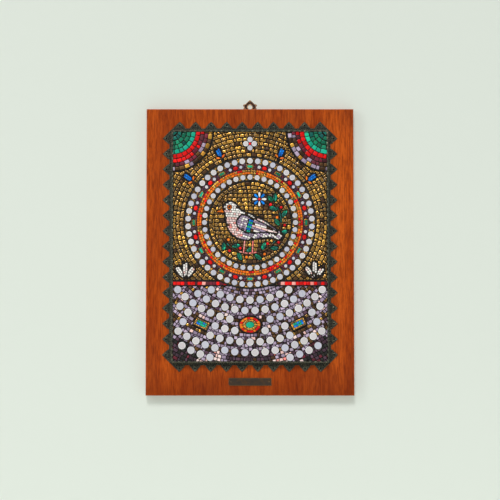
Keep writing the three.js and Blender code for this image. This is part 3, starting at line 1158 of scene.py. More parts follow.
        for number, tile in enumerate(self.tiles):
            cover(tile.outline, number)
        for pearl in self.pearls:
            cover(circle(16) * pearl.size / 2 + np.array(pearl.centre), -1)
        rng = self.draws()
        laid = len(self.tiles)
        while room.max() > self.chip_joint + self.least_chip:
            place = np.unravel_index(int(np.argmax(room)), room.shape)
            radius = min(float(room[place]) - self.chip_joint, self.largest_chip)
            turns = np.arange(corners) + rng.uniform(-0.25, 0.25, corners)
            reaches = radius * rng.uniform(0.92, 1.06, (corners, 1))
            outline = spots[place] + reaches * np.column_stack([
                np.cos(turns * TURN / corners), np.sin(turns * TURN / corners)])
            near = nearest[place]
            glass = self.tiles[near].glass if 0 <= near < laid else Glass.UMBER
            if glass not in (Glass.GOLD, Glass.LILAC, Glass.PLUM, Glass.MAROON):
                glass = Glass.UMBER
            self.tiles.append(SetTile(outline, glass, self.face - 0.1, 0.06))
            cover(outline, int(near))

    def compose(self) -> None:
        """Sets the whole picture, foremost things first."""
        for step in (
            self.set_pearls, self.set_medallion, self.set_tablets, self.set_wreath_jewels,
            self.set_dove, self.set_branch, self.set_star, self.set_wreath_bands, self.set_buds,
            self.set_sprays, self.set_fans, self.set_horizon, self.set_grounds, self.fill_gaps,
        ):
            step()


DOVE_OUTLINE: tuple[Point, ...] = (
    (-46, 24), (-43, 16), (-41, 5), (-38, -10), (-26, -24), (-6, -30), (16, -27), (35, -26),
    (52, -30), (56, -19), (39, -7), (22, 5), (2, 14), (-15, 21), (-23, 31), (-32, 36),
    (-41, 33),
)
WING_OUTLINE: tuple[Point, ...] = (
    (-23, 2), (-20, -8), (-10, -15), (4, -18), (18, -17), (32, -17), (48, -18), (32, -6),
    (14, 3), (-4, 11), (-16, 12),
)
LEG_PATHS: tuple[tuple[Point, ...], ...] = (
    ((-9, -31), (-11, -51)),
    ((5, -31), (4, -51)),
    ((-18, -49.5), (-11, -51), (-4, -52.5)),
    ((-2, -52.5), (4, -51.5), (11, -50.5)),
)


# --- Meshes -----------------------------------------------------------------------------------

Faces = list[tuple[int, ...]]
Body = tuple[np.ndarray, Faces]


@dataclass(frozen=True)
class Plane:
    """Where a plane drawing stands: the height of its foot and the face that it rises from."""

    foot: float
    face: float

    def world(self, points: np.ndarray) -> np.ndarray:
        """Moves points, across, up and out in millimetres, to metres in the object's frame."""
        return np.column_stack([
            points[:, 0] * MM, self.face - points[:, 2] * MM, self.foot + points[:, 1] * MM])


def linked(name: str, data: bpy.types.ID) -> bpy.types.Object:
    """Makes an object of a mesh, lamp or camera and puts it in the scene."""
    made = bpy.data.objects.new(name, data)
    bpy.context.scene.collection.objects.link(made)
    return made


@dataclass
class Parts:
    """Gathers closed bodies into one mesh."""

    points: list[np.ndarray] = field(default_factory=list)
    faces: Faces = field(default_factory=list)
    marks: list[int] = field(default_factory=list)
    count: int = 0

    def add(self, body: Body, mark: int = 0) -> None:
        """Adds a body whose faces all wear the material of one number."""
        points, faces = body
        self.points.append(points)
        self.faces += [tuple(index + self.count for index in face) for face in faces]
        self.marks += [mark] * len(faces)
        self.count += len(points)

    def build(
        self, name: str, plane: Plane, finishes: Sequence[bpy.types.Material], slot: str, node: str,
    ) -> None:
        """Makes the piece, dresses it and lets it ride on the part.

        Args:
            name: The piece's name.
            plane: Where the drawing stands.
            finishes: Its materials, by number.
            slot: Not used.
            node: The solid that the piece stands for.
        """
        mesh = bpy.data.meshes.new(name)
        mesh.from_pydata(plane.world(np.vstack(self.points)).tolist(), [], self.faces)
        for finish in finishes:
            mesh.materials.append(finish)
        mesh.polygons.foreach_set("material_index", self.marks)
        mesh.polygons.foreach_set("use_smooth", [True] * len(self.faces))
        mesh.set_sharp_from_angle(angle=CREASE)
        mesh.update()
        piece = linked(name, mesh)
        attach(piece, "root")
        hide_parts(node)
        LOG.info("%s: %d faces", name, len(self.faces))


def level(flat: np.ndarray, height: float) -> np.ndarray:
    """Lifts plane points to a height."""
    return np.column_stack([flat, np.full(len(flat), height)])


def ring_faces(sides: int, rings: int, closed: bool = False) -> Faces:
    """Joins rings of points, each anticlockwise seen from the end that the rings run to.

    Args:
        sides: Points in a ring.
        rings: How many rings follow one another.
        closed: Whether the last ring joins the first.

    Returns:
        The faces between them.
    """
    faces: Faces = []
    for step in range(rings if closed else rings - 1):
        low, high = step * sides, (step + 1) % rings * sides
        for here in range(sides):
            there = (here + 1) % sides
            faces.append((low + here, low + there, high + there, high + here))
    return faces


def stacked_body(rings: Sequence[np.ndarray], crown: float = 0.0) -> Body:
    """Closes a stack of rings from the lowest up, with a crowned top.

    Args:
        rings: The rings, each anticlockwise seen from the front.
        crown: How far the top's middle rises over its edge, in millimetres.

    Returns:
        The body.
    """
    sides = len(rings[0])
    last = (len(rings) - 1) * sides
    peak = len(rings) * sides
    faces = [tuple(range(sides - 1, -1, -1)), *ring_faces(sides, len(rings))]
    faces += [(last + i, last + (i + 1) % sides, peak) for i in range(sides)]
    top = rings[-1].mean(axis=0) + np.array([0.0, 0.0, crown])
    return np.vstack([*rings, top[None, :]]), faces


def lathed_body(
    centre: Point, profile: Sequence[Point], sides: int, stretch: Point = (1.0, 1.0), crown: float = 0.0,
) -> Body:
    """Turns a round or oval body about an axis that faces out, from its lowest ring up."""
    shape = circle(sides) * np.array(stretch)
    return stacked_body(
        [level(shape * radius + np.array(centre), height) for radius, height in profile], crown)


def wire_body(
    path: np.ndarray, radius: float, sides: int = 6, closed: bool = False, out: Point3 = (0.0, 0.0, 1.0),
) -> Body:
    """Draws a round wire along a path.

    Args:
        path: The path's points: across, up and out.
        radius: The wire's radius.
        sides: Sides round it.
        closed: Whether the path closes on itself.
        out: A direction that the path never takes.

    Returns:
        The body.
    """
    along = np.gradient(path, axis=0)
    if closed:
        along = np.roll(path, -1, axis=0) - np.roll(path, 1, axis=0)
    along = unit(along)
    side = unit(np.cross(np.array(out), along))
    rise = np.cross(along, side)
    across, up = np.split(circle(sides)[None, :, :] * radius, 2, axis=2)
    rings = path[:, None, :] + across * side[:, None, :] + up * rise[:, None, :]
    faces = ring_faces(sides, len(path), closed)
    if not closed:
        last = (len(path) - 1) * sides
        faces += [tuple(range(sides - 1, -1, -1)), tuple(last + i for i in range(sides))]
    return rings.reshape(-1, 3), faces


def inset(outline: np.ndarray, amount: float) -> np.ndarray:
    """Moves an outline's corners to its left, which is inwards where it runs anticlockwise.

    Args:
        outline: The outline, of any shape.
        amount: How far its sides move, in millimetres.

    Returns:
        As many corners as it has.
    """
    after = unit(np.roll(outline, -1, axis=0) - outline)
    bisector = unit(np.roll(after, 1, axis=0) + after)
    left = np.column_stack([-bisector[:, 1], bisector[:, 0]])
    squareness = np.abs((bisector * after).sum(axis=1, keepdims=True))
    return outline + left * amount / np.maximum(squareness, 0.4)


def facing(outline: np.ndarray, anticlockwise: bool) -> np.ndarray:
    """Returns the outline in the asked direction."""
    return outline if (area_of(outline) > 0) == anticlockwise else outline[::-1]


def sheet_body(
    outline: np.ndarray, holes: Sequence[np.ndarray], low: float, high: float, ease: float,
) -> Body:
    """Cuts a flat sheet with holes and chamfered edges.

    Args:
        outline: Its outer edge.
        holes: The holes' edges.
        low: Where its back lies.
        high: Where its face lies.
        ease: How far the edges of its face are chamfered.

    Returns:
        The body.
    """
    loops = [facing(outline, True), *(facing(hole, False) for hole in holes)]
    eased = [inset(loop, ease) for loop in loops]
    total = sum(len(loop) for loop in loops)
    points = np.vstack([
        *(level(loop, low) for loop in loops),
        *(level(loop, high - ease) for loop in loops),
        *(level(loop, high) for loop in eased),
    ])
    faces: Faces = []
    start = 0
    for loop in loops:
        count = len(loop)
        for base in (start, total + start):
            for here in range(count):
                there = (here + 1) % count
                faces.append((base + here, base + there, base + total + there, base + total + here))
        start += count
    flat = np.vstack(eased)
    for corners in tessellate_polygon([[Vector((*p, 0.0)) for p in loop] for loop in eased]):
        triangle = corners if area_of(flat[list(corners)]) > 0 else corners[::-1]
        faces.append(tuple(2 * total + i for i in triangle))
        faces.append(tuple(reversed(triangle)))
    return points, faces


# --- Finishes ---------------------------------------------------------------------------------


def paint(red: int, green: int, blue: int) -> Paint:
    """Turns a colour as a screen shows it, 0 to 255, to the linear values that shaders take."""
    shares = (red / 255, green / 255, blue / 255)
    linear = [s / 12.92 if s <= 0.04045 else ((s + 0.055) / 1.055) ** 2.4 for s in shares]
    return linear[0], linear[1], linear[2], 1.0


@dataclass
class NodeSheet:
    """Places and wires the nodes of one material or group."""

    tree: bpy.types.NodeTree

    def put(self, kind: str, values: dict | None = None, **settings: object) -> bpy.types.Node:
        """Places a node.

        Args:
            kind: The node's type.
            values: What its inputs hold or are wired to, by name or number.
            settings: Its own properties.

        Returns:
            The node.
        """
        node = self.tree.nodes.new(kind)
        for key, value in settings.items():
            setattr(node, key, value)
        self.fill(node, values or {})
        return node

    def fill(self, node: bpy.types.Node, values: dict) -> None:
        """Wires a node's inputs to sockets, or sets their values."""
        for key, value in values.items():
            if isinstance(value, bpy.types.NodeSocket):
                self.tree.links.new(value, node.inputs[key])
            else:
                node.inputs[key].default_value = value

    def place(self, stretch: Point3 = (1.0, 1.0, 1.0)) -> bpy.types.NodeSocket:
        """Returns the place on the object, stretched along its axes."""
        where = self.put("ShaderNodeTexCoord").outputs["Object"]
        return self.put("ShaderNodeMapping", {"Vector": where, "Scale": stretch}).outputs[0]

    def axis(self, number: int) -> bpy.types.NodeSocket:
        """Returns the place along one axis, in metres."""
        where = self.put("ShaderNodeTexCoord").outputs["Object"]
        return self.put("ShaderNodeSeparateXYZ", {0: where}).outputs[number]

    def noise(
        self, place: bpy.types.NodeSocket, scale: object, detail: float = 3.0, rough: float = 0.55,
    ) -> bpy.types.NodeSocket:
        """Returns cloudy noise of about one half, of so many clouds to the metre."""
        values = {"Vector": place, "Scale": scale, "Detail": detail, "Roughness": rough}
        return self.put("ShaderNodeTexNoise", values).outputs["Fac"]

    def span(
        self, value: bpy.types.NodeSocket, low: object, high: object, first: object = 0.0,
        last: object = 1.0,
    ) -> bpy.types.NodeSocket:
        """Maps a value's stretch from low to high smoothly onto one from first to last."""
        values = {"Value": value, 1: low, 2: high, 3: first, 4: last}
        return self.put("ShaderNodeMapRange", values, interpolation_type="SMOOTHSTEP").outputs[0]

    def blend(self, share: object, first: object, second: object) -> bpy.types.NodeSocket:
        """Mixes two colours by the second one's share."""
        values = {0: share, 6: first, 7: second}
        return self.put("ShaderNodeMix", values, data_type="RGBA").outputs[2]

    def veil(
        self, mask: bpy.types.NodeSocket, share: float, first: object, second: object,
    ) -> bpy.types.NodeSocket:
        """Lays a share of the second colour over the first where a mask says."""
        return self.blend(self.math("MULTIPLY", mask, share), first, second)

    def math(self, kind: str, first: object, second: object = 0.0) -> bpy.types.NodeSocket:
        """Returns one operation on two values."""
        return self.put("ShaderNodeMath", {0: first, 1: second}, operation=kind).outputs[0]

    def bump(self, height: bpy.types.NodeSocket, depth: float) -> bpy.types.NodeSocket:
        """Turns a height, 0 to 1, to a normal; 1 stands for the depth in metres."""
        return self.put("ShaderNodeBump", {"Height": height, "Distance": depth}).outputs[0]


Sockets = dict[str, bpy.types.NodeSocket]


@dataclass(frozen=True)
class Effect:
    """A node group with named inputs and outputs, built once and placed where it is needed."""

    name: str
    takes: dict[str, Paint | float]
    gives: dict[str, Paint | float]
    wiring: Callable[[NodeSheet, Sockets], Sockets]

    def tree(self) -> bpy.types.NodeTree:
        """Returns the group, and builds it the first time."""
        made = bpy.data.node_groups.get(self.name)
        if made is not None:
            return made
        made = bpy.data.node_groups.new(self.name, "ShaderNodeTree")
        for way, sockets in (("INPUT", self.takes), ("OUTPUT", self.gives)):
            for label, value in sockets.items():
                kind = "NodeSocketColor" if isinstance(value, tuple) else "NodeSocketFloat"
                socket = made.interface.new_socket(label, in_out=way, socket_type=kind)
                socket.default_value = value
        sheet = NodeSheet(made)
        entry = sheet.put("NodeGroupInput").outputs
        sheet.put("NodeGroupOutput", self.wiring(sheet, {key: entry[key] for key in self.takes}))
        return made

    def use(self, sheet: NodeSheet, **values: object) -> Sockets:
        """Places the group on a sheet with its inputs' values and returns its outputs."""
        node = sheet.put("ShaderNodeGroup", values, node_tree=self.tree())
        return {key: node.outputs[key] for key in self.gives}


GREY: Paint = (0.5, 0.5, 0.5, 1.0)


def wire_piece_tone(sheet: NodeSheet, given: Sockets) -> Sockets:
    """Wires a tone that differs from one cut piece to the next."""
    chance = sheet.put("ShaderNodeNewGeometry").outputs["Random Per Island"]
    other = sheet.math("FRACT", sheet.math("MULTIPLY", chance, 37.7))
    mixed_tone = sheet.blend(sheet.span(chance, 0.1, 0.9), given["First"], given["Second"])
    streaks = sheet.span(sheet.noise(sheet.place(), 260.0, 2.0), 0.3, 0.7, -0.45, 0.45)
    value = sheet.math("ADD", sheet.span(other, 0.0, 1.0, -1.0, 1.0), streaks)
    bright = sheet.math("ADD", sheet.math("MULTIPLY", value, given["Spread"]), 1.0)
    scaled = sheet.put("ShaderNodeVectorMath", {0: mixed_tone, "Scale": bright}, operation="SCALE")
    return {"Colour": scaled.outputs[0], "Chance": other}


def wire_mottle(sheet: NodeSheet, given: Sockets) -> Sockets:
    """Wires two colours in clouds."""
    clouds = sheet.noise(sheet.place(), given["Scale"], 5.0, 0.6)
    mask = sheet.span(clouds, 0.36, 0.64)
    return {"Colour": sheet.blend(mask, given["First"], given["Second"]), "Mask": mask}


def wire_joint_grime(sheet: NodeSheet, given: Sockets) -> Sockets:
    """Wires mortar dust that lies in the joints, low on the pieces' sides."""
    patches = sheet.noise(sheet.place(), 900.0, 2.0)
    ragged = sheet.math("MULTIPLY", sheet.math("SUBTRACT", patches, 0.5), 0.0008)
    depth = sheet.math("ADD", sheet.axis(1), ragged)
    mask = sheet.span(depth, given["Clean"], given["Dirty"])
    return {"Colour": sheet.blend(mask, given["Base"], given["Grime"]), "Mask": mask}


def wire_patina(sheet: NodeSheet, given: Sockets) -> Sockets:
    """Wires old metal: bare metal where it is rubbed, a dull skin in clouds elsewhere."""
    where = sheet.place()
    clouds = sheet.noise(where, given["Scale"], 6.0, 0.62)
    fine = sheet.noise(where, sheet.math("MULTIPLY", given["Scale"], 7.0), 3.0, 0.7)
    edge = sheet.math("SUBTRACT", 1.0, given["Cover"])
    rough = sheet.math("ADD", clouds, sheet.math("MULTIPLY", fine, 0.35))
    skin = sheet.span(rough, sheet.math("ADD", edge, 0.02), sheet.math("ADD", edge, 0.34))
    colour = sheet.blend(skin, given["Metal"], given["Skin"])
    coarse = sheet.math("MULTIPLY", clouds, 0.6)
    return {
        "Colour": sheet.veil(sheet.span(fine, 0.63, 0.74), 0.55, colour, given["Speck"]),
        "Roughness": sheet.math("ADD", given["Polish"], sheet.math("MULTIPLY", skin, 0.34)),
        "Metallic": sheet.math("SUBTRACT", 0.95, sheet.math("MULTIPLY", skin, 0.6)),
        "Height": sheet.math("ADD", coarse, sheet.math("MULTIPLY", fine, 0.4)),
    }


PIECE_TONE = Effect(
    "piece_tone",
    {"First": GREY, "Second": GREY, "Spread": 0.2},
    {"Colour": GREY, "Chance": 0.5},
    wire_piece_tone,
)
MOTTLE = Effect(
    "mottle", {"First": GREY, "Second": GREY, "Scale": 60.0}, {"Colour": GREY, "Mask": 0.0},
    wire_mottle,
)
JOINT_GRIME = Effect(
    "joint_grime",
    {"Base": GREY, "Grime": GREY, "Clean": -0.029, "Dirty": -0.028},
    {"Colour": GREY, "Mask": 0.0},
    wire_joint_grime,
)
PATINA = Effect(
    "patina",
    {"Metal": GREY, "Skin": GREY, "Speck": GREY, "Scale": 200.0, "Cover": 0.5, "Polish": 0.35},
    {"Colour": GREY, "Roughness": 0.5, "Metallic": 1.0, "Height": 0.5},
    wire_patina,
)
MORTAR_DUST = paint(24, 19, 15)


def blank(name: str) -> tuple[bpy.types.Material, NodeSheet]:
    """Makes an empty material and its sheet of nodes."""
    made = bpy.data.materials.new(name)
    made.use_nodes = True
    made.node_tree.nodes.clear()
    return made, NodeSheet(made.node_tree)


def new_material(name: str) -> tuple[bpy.types.Material, NodeSheet, bpy.types.Node]:
    """Makes a material with a plain shader and returns it with its sheet and its shader."""
    made, sheet = blank(name)
    shader = sheet.put("ShaderNodeBsdfPrincipled")
    sheet.put("ShaderNodeOutputMaterial", {"Surface": shader.outputs[0]})
    return made, sheet, shader


@dataclass(frozen=True)
class GlassFinish:
    """A glass that tesserae are cut from."""

    first: Paint
    second: Paint
    spread: float = 0.22
    rough: float = 0.24
    metal: float = 0.0
    specular: float = 0.36
    coat: float = 0.0
    ripple: float = 0.00012

    def material(self, glass: Glass, face: float) -> bpy.types.Material:
        """Makes the material.

        Args:
            glass: The glass that it shows.
            face: The level of the mosaic's face, in metres.

        Returns:
            The material.
        """
        made, sheet, shader = new_material(f"glass_{glass.value}")
        tone = PIECE_TONE.use(sheet, First=self.first, Second=self.second, Spread=self.spread)
        grime = JOINT_GRIME.use(
            sheet, Base=tone["Colour"], Grime=MORTAR_DUST,
            Clean=face + 0.35 * MM, Dirty=face + 1.1 * MM)
        gloss = sheet.span(tone["Chance"], 0.0, 1.0, self.rough * 0.8, self.rough * 1.3)
        metal = sheet.span(grime["Mask"], 0.0, 1.0, self.metal, 0.0) if self.metal else 0.0
        sheet.fill(shader, {
            "Base Color": grime["Colour"],
            "Roughness": sheet.span(grime["Mask"], 0.0, 1.0, gloss, 0.85),
            "Metallic": metal,
            "Specular IOR Level": self.specular,
            "Coat Weight": self.coat,
            "Coat Roughness": 0.08,
            "Normal": sheet.bump(sheet.noise(sheet.place(), 330.0, 2.0), self.ripple),
        })
        return made


GLASSES: dict[Glass, GlassFinish] = {
    Glass.GOLD: GlassFinish(
        paint(196, 144, 50), paint(146, 104, 33), 0.36, 0.2, 0.8, 0.5, 1.0, 0.0008),
    Glass.WHITE: GlassFinish(paint(255, 251, 246), paint(240, 232, 228), 0.06, 0.3),
    Glass.BLUSH: GlassFinish(paint(253, 226, 222), paint(245, 196, 190), 0.1, 0.3),
    Glass.CORAL: GlassFinish(paint(255, 130, 122), paint(246, 168, 158), 0.15, 0.3),
    Glass.LILAC: GlassFinish(paint(188, 168, 192), paint(156, 136, 162), 0.26, 0.26),
    Glass.PLUM: GlassFinish(paint(62, 42, 56), paint(86, 56, 74), 0.3, 0.35),
    Glass.MAROON: GlassFinish(paint(112, 28, 48), paint(84, 30, 40), 0.3, 0.33),
    Glass.TURQUOISE: GlassFinish(paint(22, 196, 150), paint(18, 164, 138), 0.2),
    Glass.GREEN: GlassFinish(paint(20, 142, 102), paint(12, 112, 84), 0.22),
    Glass.TEAL: GlassFinish(paint(10, 84, 80), paint(8, 104, 92), 0.25),
    Glass.BLUE: GlassFinish(paint(0, 132, 236), paint(6, 104, 206), 0.2),
    Glass.ORANGE: GlassFinish(paint(252, 130, 16), paint(240, 104, 10), 0.16),
    Glass.AMBER: GlassFinish(
        paint(222, 168, 70), paint(190, 134, 50), 0.25, 0.28, 0.6),
    Glass.RED: GlassFinish(paint(252, 12, 6), paint(205, 8, 8), 0.18),
    Glass.UMBER: GlassFinish(
        paint(92, 60, 24), paint(70, 44, 22), 0.35, 0.32, 0.4, 0.5, 0.0, 0.0002),
    Glass.BLACK: GlassFinish(paint(20, 19, 19), paint(30, 28, 27), 0.3, 0.4),
}


@dataclass(frozen=True)
class PearlFinish:
    """The flat glass pearls: a bright ground rim round a clouded, faintly lustrous face."""

    rim: Paint = paint(252, 252, 252)
    first: Paint = paint(218, 211, 211)
    second: Paint = paint(192, 196, 214)
    cloud: Paint = paint(204, 196, 205)

    def face_material(self) -> bpy.types.Material:
        """Makes the face's material."""
        made, sheet, shader = new_material("pearl_face")
        tone = PIECE_TONE.use(sheet, First=self.first, Second=self.second, Spread=0.07)
        mask = MOTTLE.use(sheet, First=GREY, Second=GREY, Scale=420.0)["Mask"]
        sheet.fill(shader, {
            "Base Color": sheet.veil(mask, 0.6, tone["Colour"], self.cloud),
            "Roughness": sheet.span(mask, 0.0, 1.0, 0.22, 0.38),
            "Coat Weight": 0.3,
            "Coat Roughness": 0.1,
            "Normal": sheet.bump(sheet.noise(sheet.place(), 1500.0, 2.0), 0.00004),
        })
        return made

    def rim_material(self, face: float) -> bpy.types.Material:
        """Makes the rim's material for a mosaic whose face is at a level in metres."""
        made, sheet, shader = new_material("pearl_rim")
        tone = PIECE_TONE.use(sheet, First=self.rim, Second=self.cloud, Spread=0.04)
        grime = JOINT_GRIME.use(
            sheet, Base=tone["Colour"], Grime=MORTAR_DUST,
            Clean=face + 0.1 * MM, Dirty=face + 1.0 * MM)
        rough = sheet.span(grime["Mask"], 0.0, 1.0, 0.25, 0.8)
        sheet.fill(shader, {"Base Color": grime["Colour"], "Roughness": rough})
        return made


@dataclass(frozen=True)
class MortarFinish:
    """The dark mortar between the tesserae."""

    first: Paint = paint(20, 17, 14)
    second: Paint = paint(34, 28, 22)

    def material(self) -> bpy.types.Material:
        """Makes the material."""
        made, sheet, shader = new_material("mortar")
        mottled = MOTTLE.use(sheet, First=self.first, Second=self.second, Scale=150.0)
        sheet.fill(shader, {
            "Base Color": mottled["Colour"],
            "Roughness": 0.92,
            "Specular IOR Level": 0.2,
            "Normal": sheet.bump(sheet.noise(sheet.place(), 1600.0, 4.0, 0.7), 0.0003),
        })
        return made


@dataclass(frozen=True)
class MetalFinish:
    """A patinated metal."""

    name: str
    metal: Paint
    skin: Paint
    speck: Paint
    cover: float = 0.5
    polish: float = 0.35
    scale: float = 220.0
    pitting: float = 0.00025

    def material(self) -> bpy.types.Material:
        """Makes the material."""
        made, sheet, shader = new_material(self.name)
        patina = PATINA.use(
            sheet, Metal=self.metal, Skin=self.skin, Speck=self.speck,
            Scale=self.scale, Cover=self.cover, Polish=self.polish)
        sheet.fill(shader, {
            "Base Color": patina["Colour"],
            "Roughness": patina["Roughness"],
            "Metallic": patina["Metallic"],
            "Normal": sheet.bump(patina["Height"], self.pitting),
        })
        return made


EDGING_SHEET = MetalFinish(
    "edging_sheet", paint(80, 77, 60), paint(37, 37, 30), paint(98, 85, 65), 0.58, 0.42, 300.0)
EDGING_RELIEF = MetalFinish(
    "edging_relief", paint(120, 118, 98), paint(50, 54, 45), paint(110, 94, 72), 0.54, 0.34, 300.0)
# A darker copy of the edging metal: painted shade for the upright wall, its flutes and the holes.
EDGING_PAINTED_SHADE = MetalFinish(
    "edging_metal_painted_shade", paint(38, 34, 27), paint(18, 17, 14), paint(58, 48, 37), 0.6, 0.45)
PLATE_FACE = MetalFinish(
    "plate_face", paint(88, 64, 42), paint(50, 37, 25), paint(70, 57, 42), 0.6, 0.38, 160.0, 0.0001)
PLATE_RIM = MetalFinish(
    "plate_rim", paint(124, 98, 66), paint(70, 53, 36), paint(100, 82, 60), 0.45, 0.32, 160.0, 0.0001)
# The hanger's raised bronze: lighter partly as its own worn colour, partly as a painted highlight.
HANGER_BRONZE_AND_HIGHLIGHT = MetalFinish(
    "hanger_bronze_and_highlight", paint(186, 146, 108), paint(104, 68, 48), paint(190, 160, 134), 0.45, 0.26,
    300.0, 0.0001)
HANGER_DARK = MetalFinish(
    "hanger_ground", paint(84, 52, 36), paint(46, 28, 22), paint(96, 66, 46), 0.55, 0.34,
    300.0, 0.0001)
NAIL_STEEL = MetalFinish(
    "nail_steel", paint(168, 165, 158), paint(112, 108, 102), paint(120, 86, 60), 0.4, 0.35,
    400.0, 0.00005)


@dataclass(frozen=True)
class WoodFinish:
    """Varnished red-brown hardwood with upright grain."""

    light: Paint = paint(210, 94, 24)
    middle: Paint = paint(168, 66, 11)
    dark: Paint = paint(100, 28, 2)
    pore: Paint = paint(60, 17, 4)
    # arris: the lighter colour of the worn edges, which also serves as a painted highlight along them.
    arris: Paint = paint(196, 98, 44)
    back: Paint = paint(150, 104, 70)

    def material(self, low: Vector, high: Vector) -> bpy.types.Material:
        """Makes the material.

        Args:
            low: The board's lowest corner.
            high: Its highest corner.

        Returns:
            The material.
        """
        made, sheet, shader = new_material("board_varnished_wood")
        bands, fibres, flecks, figure, pores = (
            sheet.noise(sheet.place((1.0, depth, length)), scale, detail, rough)
            for depth, length, scale, detail, rough in (
                (0.6, 0.09, 42.0, 4.0, 0.6), (1.0, 0.045, 760.0, 4.0, 0.62),
                (1.0, 0.14, 360.0, 3.0, 0.6), (1.0, 0.4, 17.0, 3.0, 0.5),
                (1.0, 0.05, 2100.0, 2.0, 0.5))
        )
        colour = sheet.blend(sheet.span(bands, 0.3, 0.7), self.middle, self.light)
        for streaks, first, last, share in (
            (flecks, 0.46, 0.68, 0.42), (fibres, 0.44, 0.66, 0.6), (figure, 0.46, 0.7, 0.36)
        ):
            colour = sheet.veil(sheet.span(streaks, first, last), share, colour, self.dark)
        pore_mask = sheet.span(pores, 0.6, 0.68)
        colour = sheet.veil(pore_mask, 0.5, colour, self.pore)

        half = (high - low) / 2
        middle = (high + low) / 2
        side_gap, face_gap, end_gap = (
            sheet.math("SUBTRACT", half[i], sheet.math(
                "ABSOLUTE", sheet.math("SUBTRACT", sheet.axis(i), middle[i])))
            for i in range(3)
        )
        gap = sheet.math("MINIMUM", sheet.math("MAXIMUM", side_gap, face_gap), sheet.math(
            "MAXIMUM", end_gap, sheet.math("MINIMUM", side_gap, face_gap)))
        # Painted shade: darker within 60 mm of the top and bottom ends, most towards the bottom.
        low_end = sheet.span(sheet.axis(2), low.z, high.z, 0.5, 0.12)
        shade = sheet.math("MULTIPLY", sheet.span(end_gap, 0.0, 0.06, 1.0, 0.0), low_end)
        colour = sheet.blend(shade, colour, self.dark)
        # Lighter in patches along the arrises: partly wear, partly a painted highlight.
        arris_wear_and_highlight_patches = sheet.span(sheet.noise(sheet.place(), 160.0, 4.0, 0.7), 0.36, 0.6)
        rubbed = sheet.math("MULTIPLY", sheet.span(gap, 0.0007, 0.0018, 1.0, 0.0), arris_wear_and_highlight_patches)
        colour = sheet.veil(rubbed, 0.6, colour, self.arris)
        bare = sheet.span(sheet.axis(1), high.y - 0.0012, high.y - 0.0004)

        gloss = sheet.math(
            "ADD", sheet.span(figure, 0.3, 0.7, 0.3, 0.42), sheet.math("MULTIPLY", pore_mask, 0.12))
        relief = sheet.math("SUBTRACT", sheet.math("MULTIPLY", fibres, 0.5), pore_mask)
        sheet.fill(shader, {
            "Base Color": sheet.veil(bare, 0.55, colour, self.back),
            "Roughness": sheet.span(bare, 0.0, 1.0, gloss, 0.75),
            "Specular IOR Level": 0.1,
            "Coat Weight": 0.03,
            "Coat Roughness": 0.2,
            "Normal": sheet.bump(relief, 0.00006),
        })
        return made


# --- The pieces -------------------------------------------------------------------------------


@dataclass(frozen=True)
class Ease:
    """How a tessera's upper edges are eased and its face is crowned, in millimetres."""

    width: float = 0.35
    drop: float = 0.25
    crown: float = 0.1


EASES: dict[Glass, Ease] = {
    Glass.GOLD: Ease(1.05, 0.8, 0.15),
    Glass.AMBER: Ease(0.8, 0.5, 0.15),
    Glass.UMBER: Ease(0.7, 0.5, 0.1),
    Glass.BLACK: Ease(0.25, 0.15, 0.03),
}


